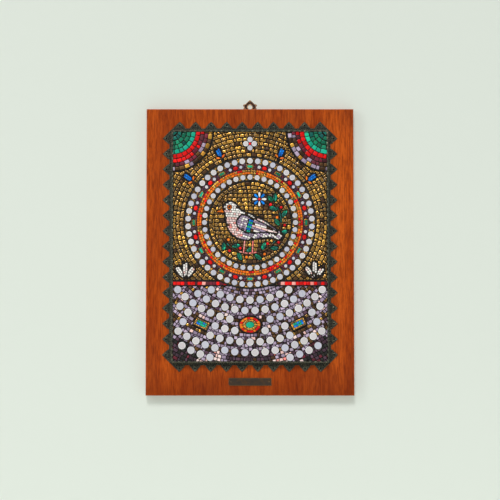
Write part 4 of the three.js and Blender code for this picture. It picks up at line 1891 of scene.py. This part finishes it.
@dataclass
class Mosaic:
    """The mortar bed with its tesserae and pearls."""

    plane: Plane
    picture: Picture = field(default_factory=Picture)
    half_width: float = 132.2
    low: float = 1.3
    high: float = 394.7
    mortar: float = 8.25
    root: float = 7.3
    grid: float = 2.0

    def tessera(self, tile: SetTile, rng: np.random.Generator) -> Body:
        """Cuts one tessera in its place, with a chance lean."""
        ease = EASES.get(tile.glass, Ease())
        outline = tile.outline
        middle = outline.mean(axis=0)
        radius = Cut(outline).inner_radius()
        width = min(ease.width, 0.55 * radius)
        share = width / ease.width
        lean = rng.uniform(-tile.tilt, tile.tilt, 2)
        rings = [level(outline, self.root)]
        for inwards, down in ((0.0, 1.0), (0.3, 0.38), (1.0, 0.0)):
            moved = inset(outline, inwards * width)
            sides, kept = (np.roll(shape, -1, axis=0) - shape for shape in (outline, moved))
            if (np.sum(sides * kept, axis=1) <= 0.0).any():
                moved = middle + (outline - middle) * (1.0 - inwards * width / radius)
            ring = level(moved, tile.level - down * ease.drop * share)
            ring[:, 2] += (moved - middle) @ lean
            rings.append(ring)
        return stacked_body(rings, ease.crown * share)

    def build_tesserae(self) -> None:
        """Makes the tesserae, one piece for each glass."""
        rng = np.random.default_rng([SEED, 1])
        for glass, finish in GLASSES.items():
            parts = Parts()
            for tile in self.picture.tiles:
                if tile.glass is glass:
                    parts.add(self.tessera(tile, rng))
            self.finish(parts, f"tesserae_{glass.value}", finish.material(glass, self.face()))

    def build_pearls(self) -> None:
        """Makes the pearls as one piece."""
        sides = 32
        parts = Parts()
        rise = self.picture.face
        for pearl in self.picture.pearls:
            radius = pearl.size / 2
            lip = min(1.0, radius * 0.2)
            rim = [
                (radius, self.root), (radius, rise + 0.45), (radius - 0.12, rise + 0.75),
                (radius - 0.3, rise + 0.93), (radius - 0.55 * lip - 0.2, rise + 0.97),
            ]
            bowl = [(radius - lip - 0.25, rise + 0.82), (radius * 0.55, rise + 0.86)]
            points, faces = lathed_body(pearl.centre, rim + bowl, sides, crown=0.05)
            parts.add((points, faces))
            shown = len(faces) - 1 - (len(rim) - 1) * sides
            parts.marks[-shown:] = [1] * shown
        looks = PearlFinish()
        self.finish(parts, "glass_pearls", looks.rim_material(self.face()), looks.face_material())

    def build_bed(self) -> None:
        """Makes the mortar bed with its uneven face, and the plinths under the ornaments."""
        rng = np.random.default_rng([SEED, 2])
        wide, tall = round(2 * self.half_width / self.grid), round((self.high - self.low) / self.grid)
        across, up = np.meshgrid(
            np.linspace(-self.half_width, self.half_width, wide),
            np.linspace(self.low, self.high, tall))
        height = self.mortar + rng.uniform(-0.22, 0.22, across.shape)
        top = np.column_stack([across.ravel(), up.ravel(), height.ravel()])
        faces: Faces = [
            (r * wide + c, r * wide + c + 1, (r + 1) * wide + c + 1, (r + 1) * wide + c)
            for r in range(tall - 1) for c in range(wide - 1)
        ]
        number = np.arange(wide * tall).reshape(tall, wide)
        rim = np.concatenate([number[0], number[1:, -1], number[-1, -2::-1], number[-2:0:-1, 0]]).tolist()
        base, count = len(top), len(rim)
        faces += [(base + i, base + (i + 1) % count, rim[(i + 1) % count], rim[i]) for i in range(count)]
        faces.append(tuple(base + i for i in range(count - 1, -1, -1)))
        parts = Parts()
        parts.add((np.vstack([top, level(top[rim, :2], 0.0)]), faces))
        for outline, rise in self.picture.plinths:
            crown = self.picture.face + rise
            parts.add(stacked_body([
                level(outline, self.root), level(outline, crown - 0.3),
                level(inset(outline, 0.3), crown)]))
        self.finish(parts, "mortar_bed", MortarFinish().material())

    def build(self) -> None:
        """Composes the picture and makes its pieces."""
        self.picture.compose()
        self.build_bed()
        self.build_tesserae()
        self.build_pearls()

    def face(self) -> float:
        """Returns the level of the mosaic's face, in metres."""
        return self.plane.face - self.picture.face * MM

    def finish(self, parts: Parts, name: str, *finishes: bpy.types.Material) -> None:
        """Makes one of the mosaic's pieces."""
        parts.build(name, self.plane, finishes, "mosaic_tile", "mosaic_bed")


@dataclass(frozen=True)
class Side:
    """One side of the panel: where its strip starts, the way it runs and the way it reaches."""

    name: str
    corner: Point
    along: Point
    out: Point
    length: float
    units: int

    def pitch(self) -> float:
        """Returns the width of one unit."""
        return self.length / self.units

    def middles(self, share: int = 1) -> list[float]:
        """Returns the middles of equal steps of the run, a number of them to a unit."""
        count = self.units * share
        return [(i + 0.5) * (self.length / count) for i in range(count)]

    def place(self, points: Iterable[Sequence[float]]) -> np.ndarray:
        """Moves points from run, reach and perhaps height to across, up and height."""
        rows = np.array(list(points), dtype=float)
        run, reach = rows[:, :1] * np.array(self.along), rows[:, 1:2] * np.array(self.out)
        return np.column_stack([np.array(self.corner) + run + reach, rows[:, 2:]])

    def spot(self, run: float, reach: float) -> Point:
        """Moves one place to the plane."""
        across, up = self.place([(run, reach)])[0]
        return float(across), float(up)



@dataclass
class Edging:
    """The pierced metal strip round the mosaic, in four mitred lengths."""

    plane: Plane
    width: float = 267.0
    height: float = 396.0
    rise: float = 11.25
    sheet: float = 0.9
    lip_reach: float = 2.75
    tip_reach: float = 16.0
    valley_reach: float = 4.5
    valley_width: float = 6.4
    units_across: int = 10
    units_up: int = 15
    fit: float = 0.3
    hole_reach: float = 9.5
    hole_radius: float = 1.9
    pinhole_place: float = 4.7
    pinhole_radius: float = 0.85
    eggs_per_unit: int = 3
    beads_per_unit: int = 8
    flutes_per_unit: int = 6

    def sides(self) -> tuple[Side, ...]:
        """Returns the four sides, clockwise from the top."""
        half, high = self.width / 2, self.height
        return (
            Side("top", (-half, high), (1.0, 0.0), (0.0, 1.0), self.width, self.units_across),
            Side("right", (half, high), (0.0, -1.0), (1.0, 0.0), high, self.units_up),
            Side("bottom", (half, 0.0), (-1.0, 0.0), (0.0, -1.0), self.width, self.units_across),
            Side("left", (-half, 0.0), (0.0, 1.0), (-1.0, 0.0), high, self.units_up),
        )

    def mitre(self) -> float:
        """Returns how far a strip's end stays back from the corner."""
        return self.fit / math.sqrt(2.0)

    def holes(self) -> tuple[tuple[float, float, float, int], ...]:
        """Returns a unit's holes: run from its middle, reach, radius and number of sides."""
        place, radius = self.pinhole_place, self.pinhole_radius
        return (
            (0.0, self.hole_reach, self.hole_radius, 14), (-place, place, radius, 8),
            (place, place, radius, 8))

    def flank(self, pitch: float) -> np.ndarray:
        """Returns one flank of a point, from its valley to its tip, as shares of an ogee."""
        foot = pitch / 2 - self.valley_width / 2
        bend = ((0.0, 0.0), (0.6, 0.5), (1.7, 2.6), (2.9, 4.1), (4.6, 5.6), (5.9, 7.7), (7.4, 9.0))
        knots = np.array([
            *((foot - inwards, self.valley_reach + reach) for inwards, reach in bend),
            (1.3, self.tip_reach - 1.3), (0.35, self.tip_reach),
        ])
        steps = np.linspace(0.0, len(knots) - 1.0, 2 * len(knots) - 1)
        return np.column_stack([np.interp(steps, range(len(knots)), knots[:, i]) for i in (0, 1)])

    def edge(self, side: Side) -> list[Point]:
        """Returns the strip's outer edge in run and reach, with half a point at each corner."""
        flank = self.flank(side.pitch())
        corner = (self.tip_reach - (side.pitch() - 2.0) / 2) / 2
        edge = [(self.mitre() - corner, corner)]
        for middle in side.middles():
            edge += [(middle - down, reach) for down, reach in flank]
            edge += [(middle + down, reach) for down, reach in flank[::-1]]
        del edge[1:len(flank)], edge[-len(flank) + 1:]
        return [*edge, (side.length - self.mitre() + corner, corner)]

    def add_flange(self, parts: Parts, side: Side) -> None:
        """Adds the pierced flange with its rim wire, and a dark disc of painted shade in each hole."""
        inner = self.mitre() + 1.0
        outline = side.place([(inner, -1.0), *self.edge(side), (side.length - inner, -1.0)])
        holes = [
            side.place(circle(sides) * radius + np.array([middle + run, reach]))
            for middle in side.middles() for run, reach, radius, sides in self.holes()
        ]
        parts.add(sheet_body(outline, holes, 0.0, self.sheet, 0.2), 0)
        for middle in side.middles():
            for run, reach, radius, _ in self.holes():
                # Painted shade: a thin dark disc low in each hole, in the darker copy of the metal.
                profile = [(radius + 0.1, 0.05), (radius + 0.1, 0.25)]
                parts.add(lathed_body(side.spot(middle + run, reach), profile, 12), 2)
        rim = inset(outline, 0.85 if area_of(outline) > 0 else -0.85)
        parts.add(wire_body(level(rim[1:-1], self.sheet + 0.1), 0.48), 1)

    def add_tracery(self, parts: Parts, side: Side) -> None:
        """Adds each unit's raised tracery: a ring, two sprays and a bud in the point."""
        top = self.sheet + 0.1
        spray = np.array([
            (1.0, 6.7), (2.1, 6.2), (3.3, 6.5), (4.7, 6.9), (6.0, 6.3), (6.7, 5.0), (6.5, 3.6),
            (5.6, 3.0)])
        for middle in side.middles():
            ring = circle(16) * (self.hole_radius + 0.35) + np.array([middle, self.hole_reach])
            parts.add(wire_body(side.place(level(ring, top + 0.2)), 0.6, 8, closed=True), 1)
            for hand in (-1.0, 1.0):
                twig = spray * np.array([hand, 1.0]) + np.array([middle, 0.0])
                parts.add(wire_body(side.place(level(twig, top)), 0.4), 1)
                lobe = side.spot(middle + hand * 2.9, 8.6)
                parts.add(lathed_body(lobe, [(0.75, 0.6), (0.7, 1.2), (0.4, 1.5)], 8, crown=0.1), 1)
            bud = side.spot(middle, 13.1)
            parts.add(lathed_body(bud, [(1.0, 0.6), (0.95, 1.15), (0.6, 1.6)], 10, crown=0.15), 1)

    def add_beads(self, parts: Parts, side: Side) -> None:
        """Adds the row of beads at the foot of the wall."""
        profile = [(0.95, 0.6), (0.95, 1.0), (0.75, 1.45), (0.4, 1.75)]
        for run in side.middles(self.beads_per_unit):
            parts.add(lathed_body(side.spot(run, 1.6), profile, 8, crown=0.08), 1)

    def add_wall(self, parts: Parts, side: Side) -> None:
        """Adds the upright wall with its rails and flutes."""
        start, end = self.mitre(), side.length - self.mitre()
        bar = side.place([(start + 1.0, -1.0), (end - 1.0, -1.0), (end, 0.0), (start, 0.0)])
        # The wall and its flutes wear the darker copy of the metal: painted shade.
        parts.add(sheet_body(bar, [], 0.1, self.rise - 0.5, 0.15), 2)
        for height, radius in ((2.5, 0.4), (self.rise - 2.2, 0.45)):
            rail = side.place([(start, 0.0, height), (end, 0.0, height)])
            parts.add(wire_body(rail, radius), 1)
        for run in side.middles(self.flutes_per_unit):
            flute = side.place([(run, 0.0, 3.2), (run, 0.12, 4.2), (run, 0.12, 7.4), (run, 0.0, 8.4)])
            parts.add(wire_body(flute, 0.5, 6, out=(*side.out, 0.0)), 2)

    def add_lip(self, parts: Parts, side: Side) -> None:
        """Adds the lip over the mosaic's edge: a scalloped strip with eggs on it."""
        start, end = self.mitre(), side.length - self.mitre()
        lobe = side.pitch() / self.eggs_per_unit
        lobes = side.middles(self.eggs_per_unit)
        first, last = start + self.lip_reach, end - self.lip_reach
        scallops = [
            (middle + shift * lobe, sunk - self.lip_reach)
            for middle in lobes for shift, sunk in ((-0.38, 0.55), (0.0, 0.0), (0.38, 0.55))
            if first + 0.5 < middle + shift * lobe < last - 0.5
        ]
        outline = side.place([
            (first, -self.lip_reach), *scallops, (last, -self.lip_reach), (end, 0.0), (start, 0.0)])
        parts.add(sheet_body(outline, [], self.rise - 1.05, self.rise - 0.5, 0.15), 0)
        rail = side.place([(run, -0.3, self.rise - 0.5) for run in (start, end)])
        parts.add(wire_body(rail, 0.45), 1)
        stretch = (2.4, 1.0) if side.along[0] else (1.0, 2.4)
        profile = [(1.0, self.rise - 0.8), (0.98, self.rise - 0.4), (0.7, self.rise - 0.12)]
        for run in lobes:
            if self.lip_reach + 1.5 < run < side.length - self.lip_reach - 1.5:
                parts.add(lathed_body(side.spot(run, -1.55), profile, 12, stretch, 0.1), 1)

    def build(self) -> None:
        """Makes the four lengths."""
        finishes = [EDGING_SHEET.material(), EDGING_RELIEF.material(), EDGING_PAINTED_SHADE.material()]
        for side in self.sides():
            parts = Parts()
            for add in (self.add_flange, self.add_tracery, self.add_beads, self.add_wall, self.add_lip):
                add(parts, side)
            parts.build(
                f"pierced_edging_{side.name}", self.plane, finishes, "edging_metal",
                f"edging_{side.name}")


@dataclass
class TitlePlate:
    """The small plate below the mosaic, with groups of upright strokes and two pins."""

    plane: Plane
    centre: Point
    width: float = 73.0
    height: float = 13.0
    thickness: float = 1.25
    corner: float = 1.0
    worn_corner: float = 2.5
    stroke_width: float = 0.9
    stroke_height: float = 3.4
    stroke_pitch: float = 2.2
    stroke_depth: float = 0.25
    groups: tuple[int, ...] = (3, 6, 4, 5)
    pin_reach: float = 32.5

    def outline(self, inwards: float) -> np.ndarray:
        """Returns the plate's outline, moved inwards."""
        x, y = self.width / 2, self.height / 2
        worn, cut = self.worn_corner, self.corner
        corners = np.array([
            (-x + worn, -y), (x - cut, -y), (x - 0.3 * cut, -y + 0.3 * cut), (x, -y + cut),
            (x, y - cut), (x - 0.3 * cut, y - 0.3 * cut), (x - cut, y), (-x + cut, y),
            (-x + 0.3 * cut, y - 0.3 * cut), (-x, y - cut), (-x, -y + worn),
            (-x + 0.35 * worn, -y + 0.35 * worn),
        ])
        return inset(corners, inwards) + np.array(self.centre)

    def strokes(self) -> list[np.ndarray]:
        """Returns the strokes' outlines, in groups along the middle."""
        half = np.array([self.stroke_width, self.stroke_height]) / 2
        shape = np.array([(-1, -0.85), (0, -1), (1, -0.85), (1, 0.85), (0, 1), (-1, 0.85)]) * half
        last = sum(self.groups) + len(self.groups) - 2
        gaps = np.cumsum(np.array(self.groups) + 1) - 1
        return [
            shape + np.array([(place - last / 2) * self.stroke_pitch, 0.0]) + np.array(self.centre)
            for place in range(last + 1) if place not in gaps
        ]

    def build(self) -> None:
        """Makes the plate."""
        parts = Parts()
        face = self.thickness - 0.2
        floor = face - self.stroke_depth
        parts.add(sheet_body(self.outline(0.0), [], 0.0, floor, 0.1), 0)
        parts.add(sheet_body(self.outline(0.05), self.strokes(), floor - 0.1, face, 0.08), 0)
        parts.add(sheet_body(
            self.outline(0.0), [self.outline(0.9)], face - 0.3, self.thickness - 0.02, 0.18), 1)
        profile = [(0.9, 0.8), (0.88, 1.1), (0.6, self.thickness - 0.06)]
        for hand in (-1, 1):
            pin = (self.centre[0] + hand * self.pin_reach, self.centre[1])
            parts.add(lathed_body(pin, profile, 14, crown=0.05), 1)
        parts.build(
            "engraved_title_plate", self.plane, [PLATE_FACE.material(), PLATE_RIM.material()],
            "plate_metal", "title_plate")


def bezier(start: Point, pull: Point, end: Point, steps: int) -> np.ndarray:
    """Draws a curve between two points, without its first one.

    Args:
        start: Where it starts.
        pull: The point that bends it.
        end: Where it ends.
        steps: Its straight steps.

    Returns:
        The points, one a row.
    """
    t = np.linspace(0.0, 1.0, steps + 1)[1:, None]
    first, second, third = (np.array(p, dtype=float) for p in (start, pull, end))
    return first * (1 - t) ** 2 + second * 2 * t * (1 - t) + third * t**2


@dataclass
class Hanger:
    """The cast hanger behind the board's top edge, and the two nails that hold it."""

    thickness: float = 2.0
    eye_radius: float = 3.9
    peak: float = 12.5
    crest: tuple[tuple[Point, Point], ...] = (
        ((4.0, 9.6), (7.2, 5.7)),
        ((8.8, 5.3), (11.6, 4.2)),
        ((12.8, 2.2), (10.2, 0.8)),
        ((10.2, -0.8), (11.4, -2.6)),
        ((11.8, -7.5), (9.0, -12.0)),
    )
    tang_half_width: float = 9.0
    tang_end: float = -36.0
    tang_corner: float = 6.0
    board_top: float = -6.0
    nail_across: float = 9.0
    nail_drop: float = 22.0
    nail_head: float = 2.5
    nail_fit: float = 0.3

    def half_outline(self) -> np.ndarray:
        """Returns the right half of the plate's outline, from its peak down."""
        curves = [np.array([(0.0, self.peak)])]
        for pull, end in self.crest:
            curves.append(bezier(tuple(curves[-1][-1]), pull, end, 6))
        heel = (self.tang_half_width, self.tang_end + self.tang_corner)
        foot = bezier(heel, (self.tang_half_width, self.tang_end), (0.0, self.tang_end), 8)
        return np.vstack([*curves, np.array([heel]), foot])

    def build_plate(self, plane: Plane) -> None:
        """Makes the cast plate with its raised rim, eye and balls."""
        mirror = np.array([-1.0, 1.0])
        half = self.half_outline()
        outline = np.vstack([half, half[1:-1][::-1] * mirror])
        seat = circle(16) * (self.nail_head + self.nail_fit)
        seats = [seat + np.array([hand * self.nail_across / 2, -self.nail_drop]) for hand in (-1, 1)]
        parts = Parts()
        eye = circle(40) * self.eye_radius
        parts.add(sheet_body(outline, [eye, *seats], 0.05, self.thickness, 0.3), 0)
        # The rim ridge, eye ring and balls wear the lighter bronze: partly a painted highlight.
        shown = half[half[:, 1] > self.board_top + 0.35]
        ridge = inset(np.vstack([shown[::-1] * mirror, shown[1:]]), -0.75)[1:-1]
        parts.add(wire_body(level(ridge, self.thickness + 0.05), 0.5, 8), 1)
        ring = level(circle(40) * (self.eye_radius + 0.6), self.thickness + 0.15)
        parts.add(wire_body(ring, 0.62, 8, closed=True), 1)
        for across, up, radius in (
            (0.0, self.peak - 3.4, 1.1), (-9.6, 2.9, 1.2), (9.6, 2.9, 1.2), (-8.6, -2.9, 1.1),
            (8.6, -2.9, 1.1),
        ):
            profile = [
                (radius * share, self.thickness + radius * rise)
                for share, rise in ((1.0, -0.3), (1.0, 0.2), (0.85, 0.6), (0.5, 0.9))
            ]
            parts.add(lathed_body((across, up), profile, 14, crown=radius * 0.1), 1)
        parts.build(
            "cast_hanger", plane, [HANGER_DARK.material(), HANGER_BRONZE_AND_HIGHLIGHT.material()],
            "hanger_metal", "hanger")

    def build_nails(self, plane: Plane) -> None:
        """Makes the nails, whose heads face the wall."""
        finish = NAIL_STEEL.material()
        for hand, name in ((-1, "left"), (1, "right")):
            low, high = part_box(f"hanger_nail_{name}")
            tip, head = (plane.face - low.y) / MM, (plane.face - high.y) / MM
            shank = 1.25
            profile = [
                (self.nail_head * 0.55, head), (self.nail_head * 0.9, head + 0.15),
                (self.nail_head, head + 0.5), (self.nail_head, head + 0.95), (shank, head + 1.1),
                (shank, tip - 2.0), (0.3, tip - 0.1),
            ]
            parts = Parts()
            place = (hand * self.nail_across / 2, -self.nail_drop)
            parts.add(lathed_body(place, profile, 20, crown=0.05))
            parts.build(f"wire_nail_{name}", plane, [finish], "nail_metal", f"hanger_nail_{name}")


# --- The studio -------------------------------------------------------------------------------


def facing_along(way: Vector) -> Euler:
    """Returns the turn of a lamp or a camera that looks along a direction."""
    return way.to_track_quat("-Z", "Y").to_euler()


@dataclass
class Studio:
    """A pale wall and floor, soft lights and the camera."""

    low: Vector
    high: Vector
    wall_paint: Paint = paint(226, 232, 224)
    wall_glow: float = 0.3
    air_paint: Paint = paint(224, 232, 221)
    bright_side: Point3 = (-0.62, -0.5, 0.6)
    air_light: Point = (0.05, 0.42)
    floor_drop: float = 0.45
    half_room: float = 2.0
    room_front: float = -4.0
    wall_top: float = 1.6
    sun_way: Point3 = (0.12, 1.0, -0.95)
    sun_power: float = 1.6
    sun_width_degrees: float = 16.0
    reach: float = 2.4
    rise_degrees: float = 3.0
    lens: float = 101.2
    aim_rise: float = 0.0027

    def middle(self) -> Vector:
        """Returns the board's middle."""
        return (self.low + self.high) / 2

    def backdrop(self, name: str, corners: Sequence[Point3]) -> None:
        """Makes a flat backdrop whose other side lets the view and the light through.

        Args:
            name: Its name.
            corners: Its corners, anticlockwise from the side that shows.
        """
        mesh = bpy.data.meshes.new(name)
        mesh.from_pydata(corners, [], [tuple(range(len(corners)))])
        made, sheet = blank(name)
        matt = sheet.put("ShaderNodeBsdfDiffuse", {"Color": self.wall_paint}).outputs[0]
        glow = sheet.put("ShaderNodeEmission", {"Color": self.air_paint}).outputs[0]
        clear = sheet.put("ShaderNodeBsdfTransparent").outputs[0]
        behind = sheet.put("ShaderNodeNewGeometry").outputs["Backfacing"]
        shadow = sheet.put("ShaderNodeLightPath").outputs["Is Shadow Ray"]
        share = sheet.math("MAXIMUM", behind, shadow)
        plaster = sheet.put("ShaderNodeMixShader", {0: self.wall_glow, 1: matt, 2: glow}).outputs[0]
        surface = sheet.put("ShaderNodeMixShader", {0: share, 1: plaster, 2: clear}).outputs[0]
        sheet.put("ShaderNodeOutputMaterial", {"Surface": surface})
        mesh.materials.append(made)
        linked(name, mesh)

    def build_room(self) -> None:
        """Makes the wall, the floor and the air round them."""
        floor, wall = self.low.z - self.floor_drop, self.high.y + 0.0005
        half, front, top = self.half_room, self.room_front, self.wall_top
        self.backdrop("studio_wall", [
            (-half, wall, floor), (half, wall, floor), (half, wall, top), (-half, wall, top)])
        self.backdrop("studio_floor", [
            (-half, front, floor), (half, front, floor), (half, wall, floor), (-half, wall, floor)])
        world = bpy.data.worlds.new("studio_air")
        bpy.context.scene.world = world
        world.use_nodes = True
        world.node_tree.nodes.clear()
        sheet = NodeSheet(world.node_tree)
        seen = sheet.put("ShaderNodeLightPath").outputs["Is Camera Ray"]
        towards = sheet.put("ShaderNodeTexCoord").outputs["Generated"]
        bright_side = sheet.put(
            "ShaderNodeVectorMath", {0: towards, 1: self.bright_side}, operation="DOT_PRODUCT")
        light = sheet.span(bright_side.outputs["Value"], -0.4, 0.95, *self.air_light)
        air = sheet.put("ShaderNodeBackground", {
            "Color": sheet.blend(seen, (1.0, 1.0, 0.99, 1.0), self.air_paint),
            "Strength": sheet.span(seen, 0.0, 1.0, light, 1.0),
        })
        sheet.put("ShaderNodeOutputWorld", {"Surface": air.outputs[0]})

    def softbox(self, name: str, place: Point3, size: Point, power: float, glint: bool = False) -> None:
        """Hangs a softbox that faces the panel.

        Args:
            name: Its name.
            place: Where it hangs.
            size: Its width and height.
            power: Its power in watts.
            glint: True for one that shows in shine alone.
        """
        light = bpy.data.lights.new(name, "AREA")
        light.shape = "RECTANGLE"
        light.size, light.size_y = size
        light.energy = power
        lamp = linked(name, light)
        lamp.location = place
        lamp.visible_diffuse = not glint
        lamp.rotation_euler = facing_along(self.middle() - Vector(place))

    def build_lights(self) -> None:
        """Makes a broad soft sun from above and softboxes at both hands and behind."""
        sun = bpy.data.lights.new("soft_sun", "SUN")
        sun.energy = self.sun_power
        sun.angle = math.radians(self.sun_width_degrees)
        linked("soft_sun", sun).rotation_euler = facing_along(Vector(self.sun_way))
        self.softbox("softbox_left", (-2.7, -2.4, 1.1), (0.9, 1.6), 23.0)
        self.softbox("softbox_right", (3.0, -2.6, 0.4), (0.7, 1.6), 8.0)
        self.softbox("glint_left", (-1.9, -0.9, 0.3), (0.8, 1.8), 22.0, True)
        self.softbox("glint_right", (1.9, -0.9, -0.5), (0.8, 1.8), 18.0, True)
        self.softbox("softbox_behind", (0.5, 1.8, 0.6), (1.4, 1.4), 22.0)

    def build_camera(self) -> None:
        """Sets up the camera in front, a little below the panel's middle."""
        middle = self.middle()
        aim = Vector((middle.x, self.low.y, middle.z + self.aim_rise))
        tip = math.radians(self.rise_degrees)
        camera = bpy.data.cameras.new("camera")
        camera.sensor_width = 36.0
        camera.lens = self.lens
        holder = linked("camera", camera)
        holder.location = aim + self.reach * Vector((0.0, -math.cos(tip), -math.sin(tip)))
        holder.rotation_euler = facing_along(aim - holder.location)
        bpy.context.scene.camera = holder
        bpy.context.scene.view_settings.view_transform = "Standard"

    def build(self) -> None:
        """Makes the studio."""
        self.build_room()
        self.build_lights()
        self.build_camera()


def main() -> None:
    """Builds the looks in order."""
    logging.basicConfig(level=logging.INFO, format="%(name)s: %(message)s")
    low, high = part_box("backboard")
    bed_low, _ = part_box("mosaic_bed")
    picture_plane = Plane(foot=bed_low.z - 1.3 * MM, face=low.y)

    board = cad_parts["backboard"]
    board.data.materials.clear()
    board.data.materials.append(WoodFinish().material(low, high))
    LOG.info("backboard: dressed in wood")

    Mosaic(picture_plane).build()
    Edging(picture_plane).build()

    plate_low, plate_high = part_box("title_plate")
    middle = (plate_low.z + plate_high.z) / 2
    TitlePlate(picture_plane, (0.0, (middle - picture_plane.foot) / MM)).build()

    wall_plane = Plane(foot=0.0, face=0.0)
    hanger = Hanger(board_top=high.z / MM)
    hanger.build_plate(wall_plane)
    hanger.build_nails(wall_plane)

    Studio(low, high).build()


if __name__ == "__main__":
    main()
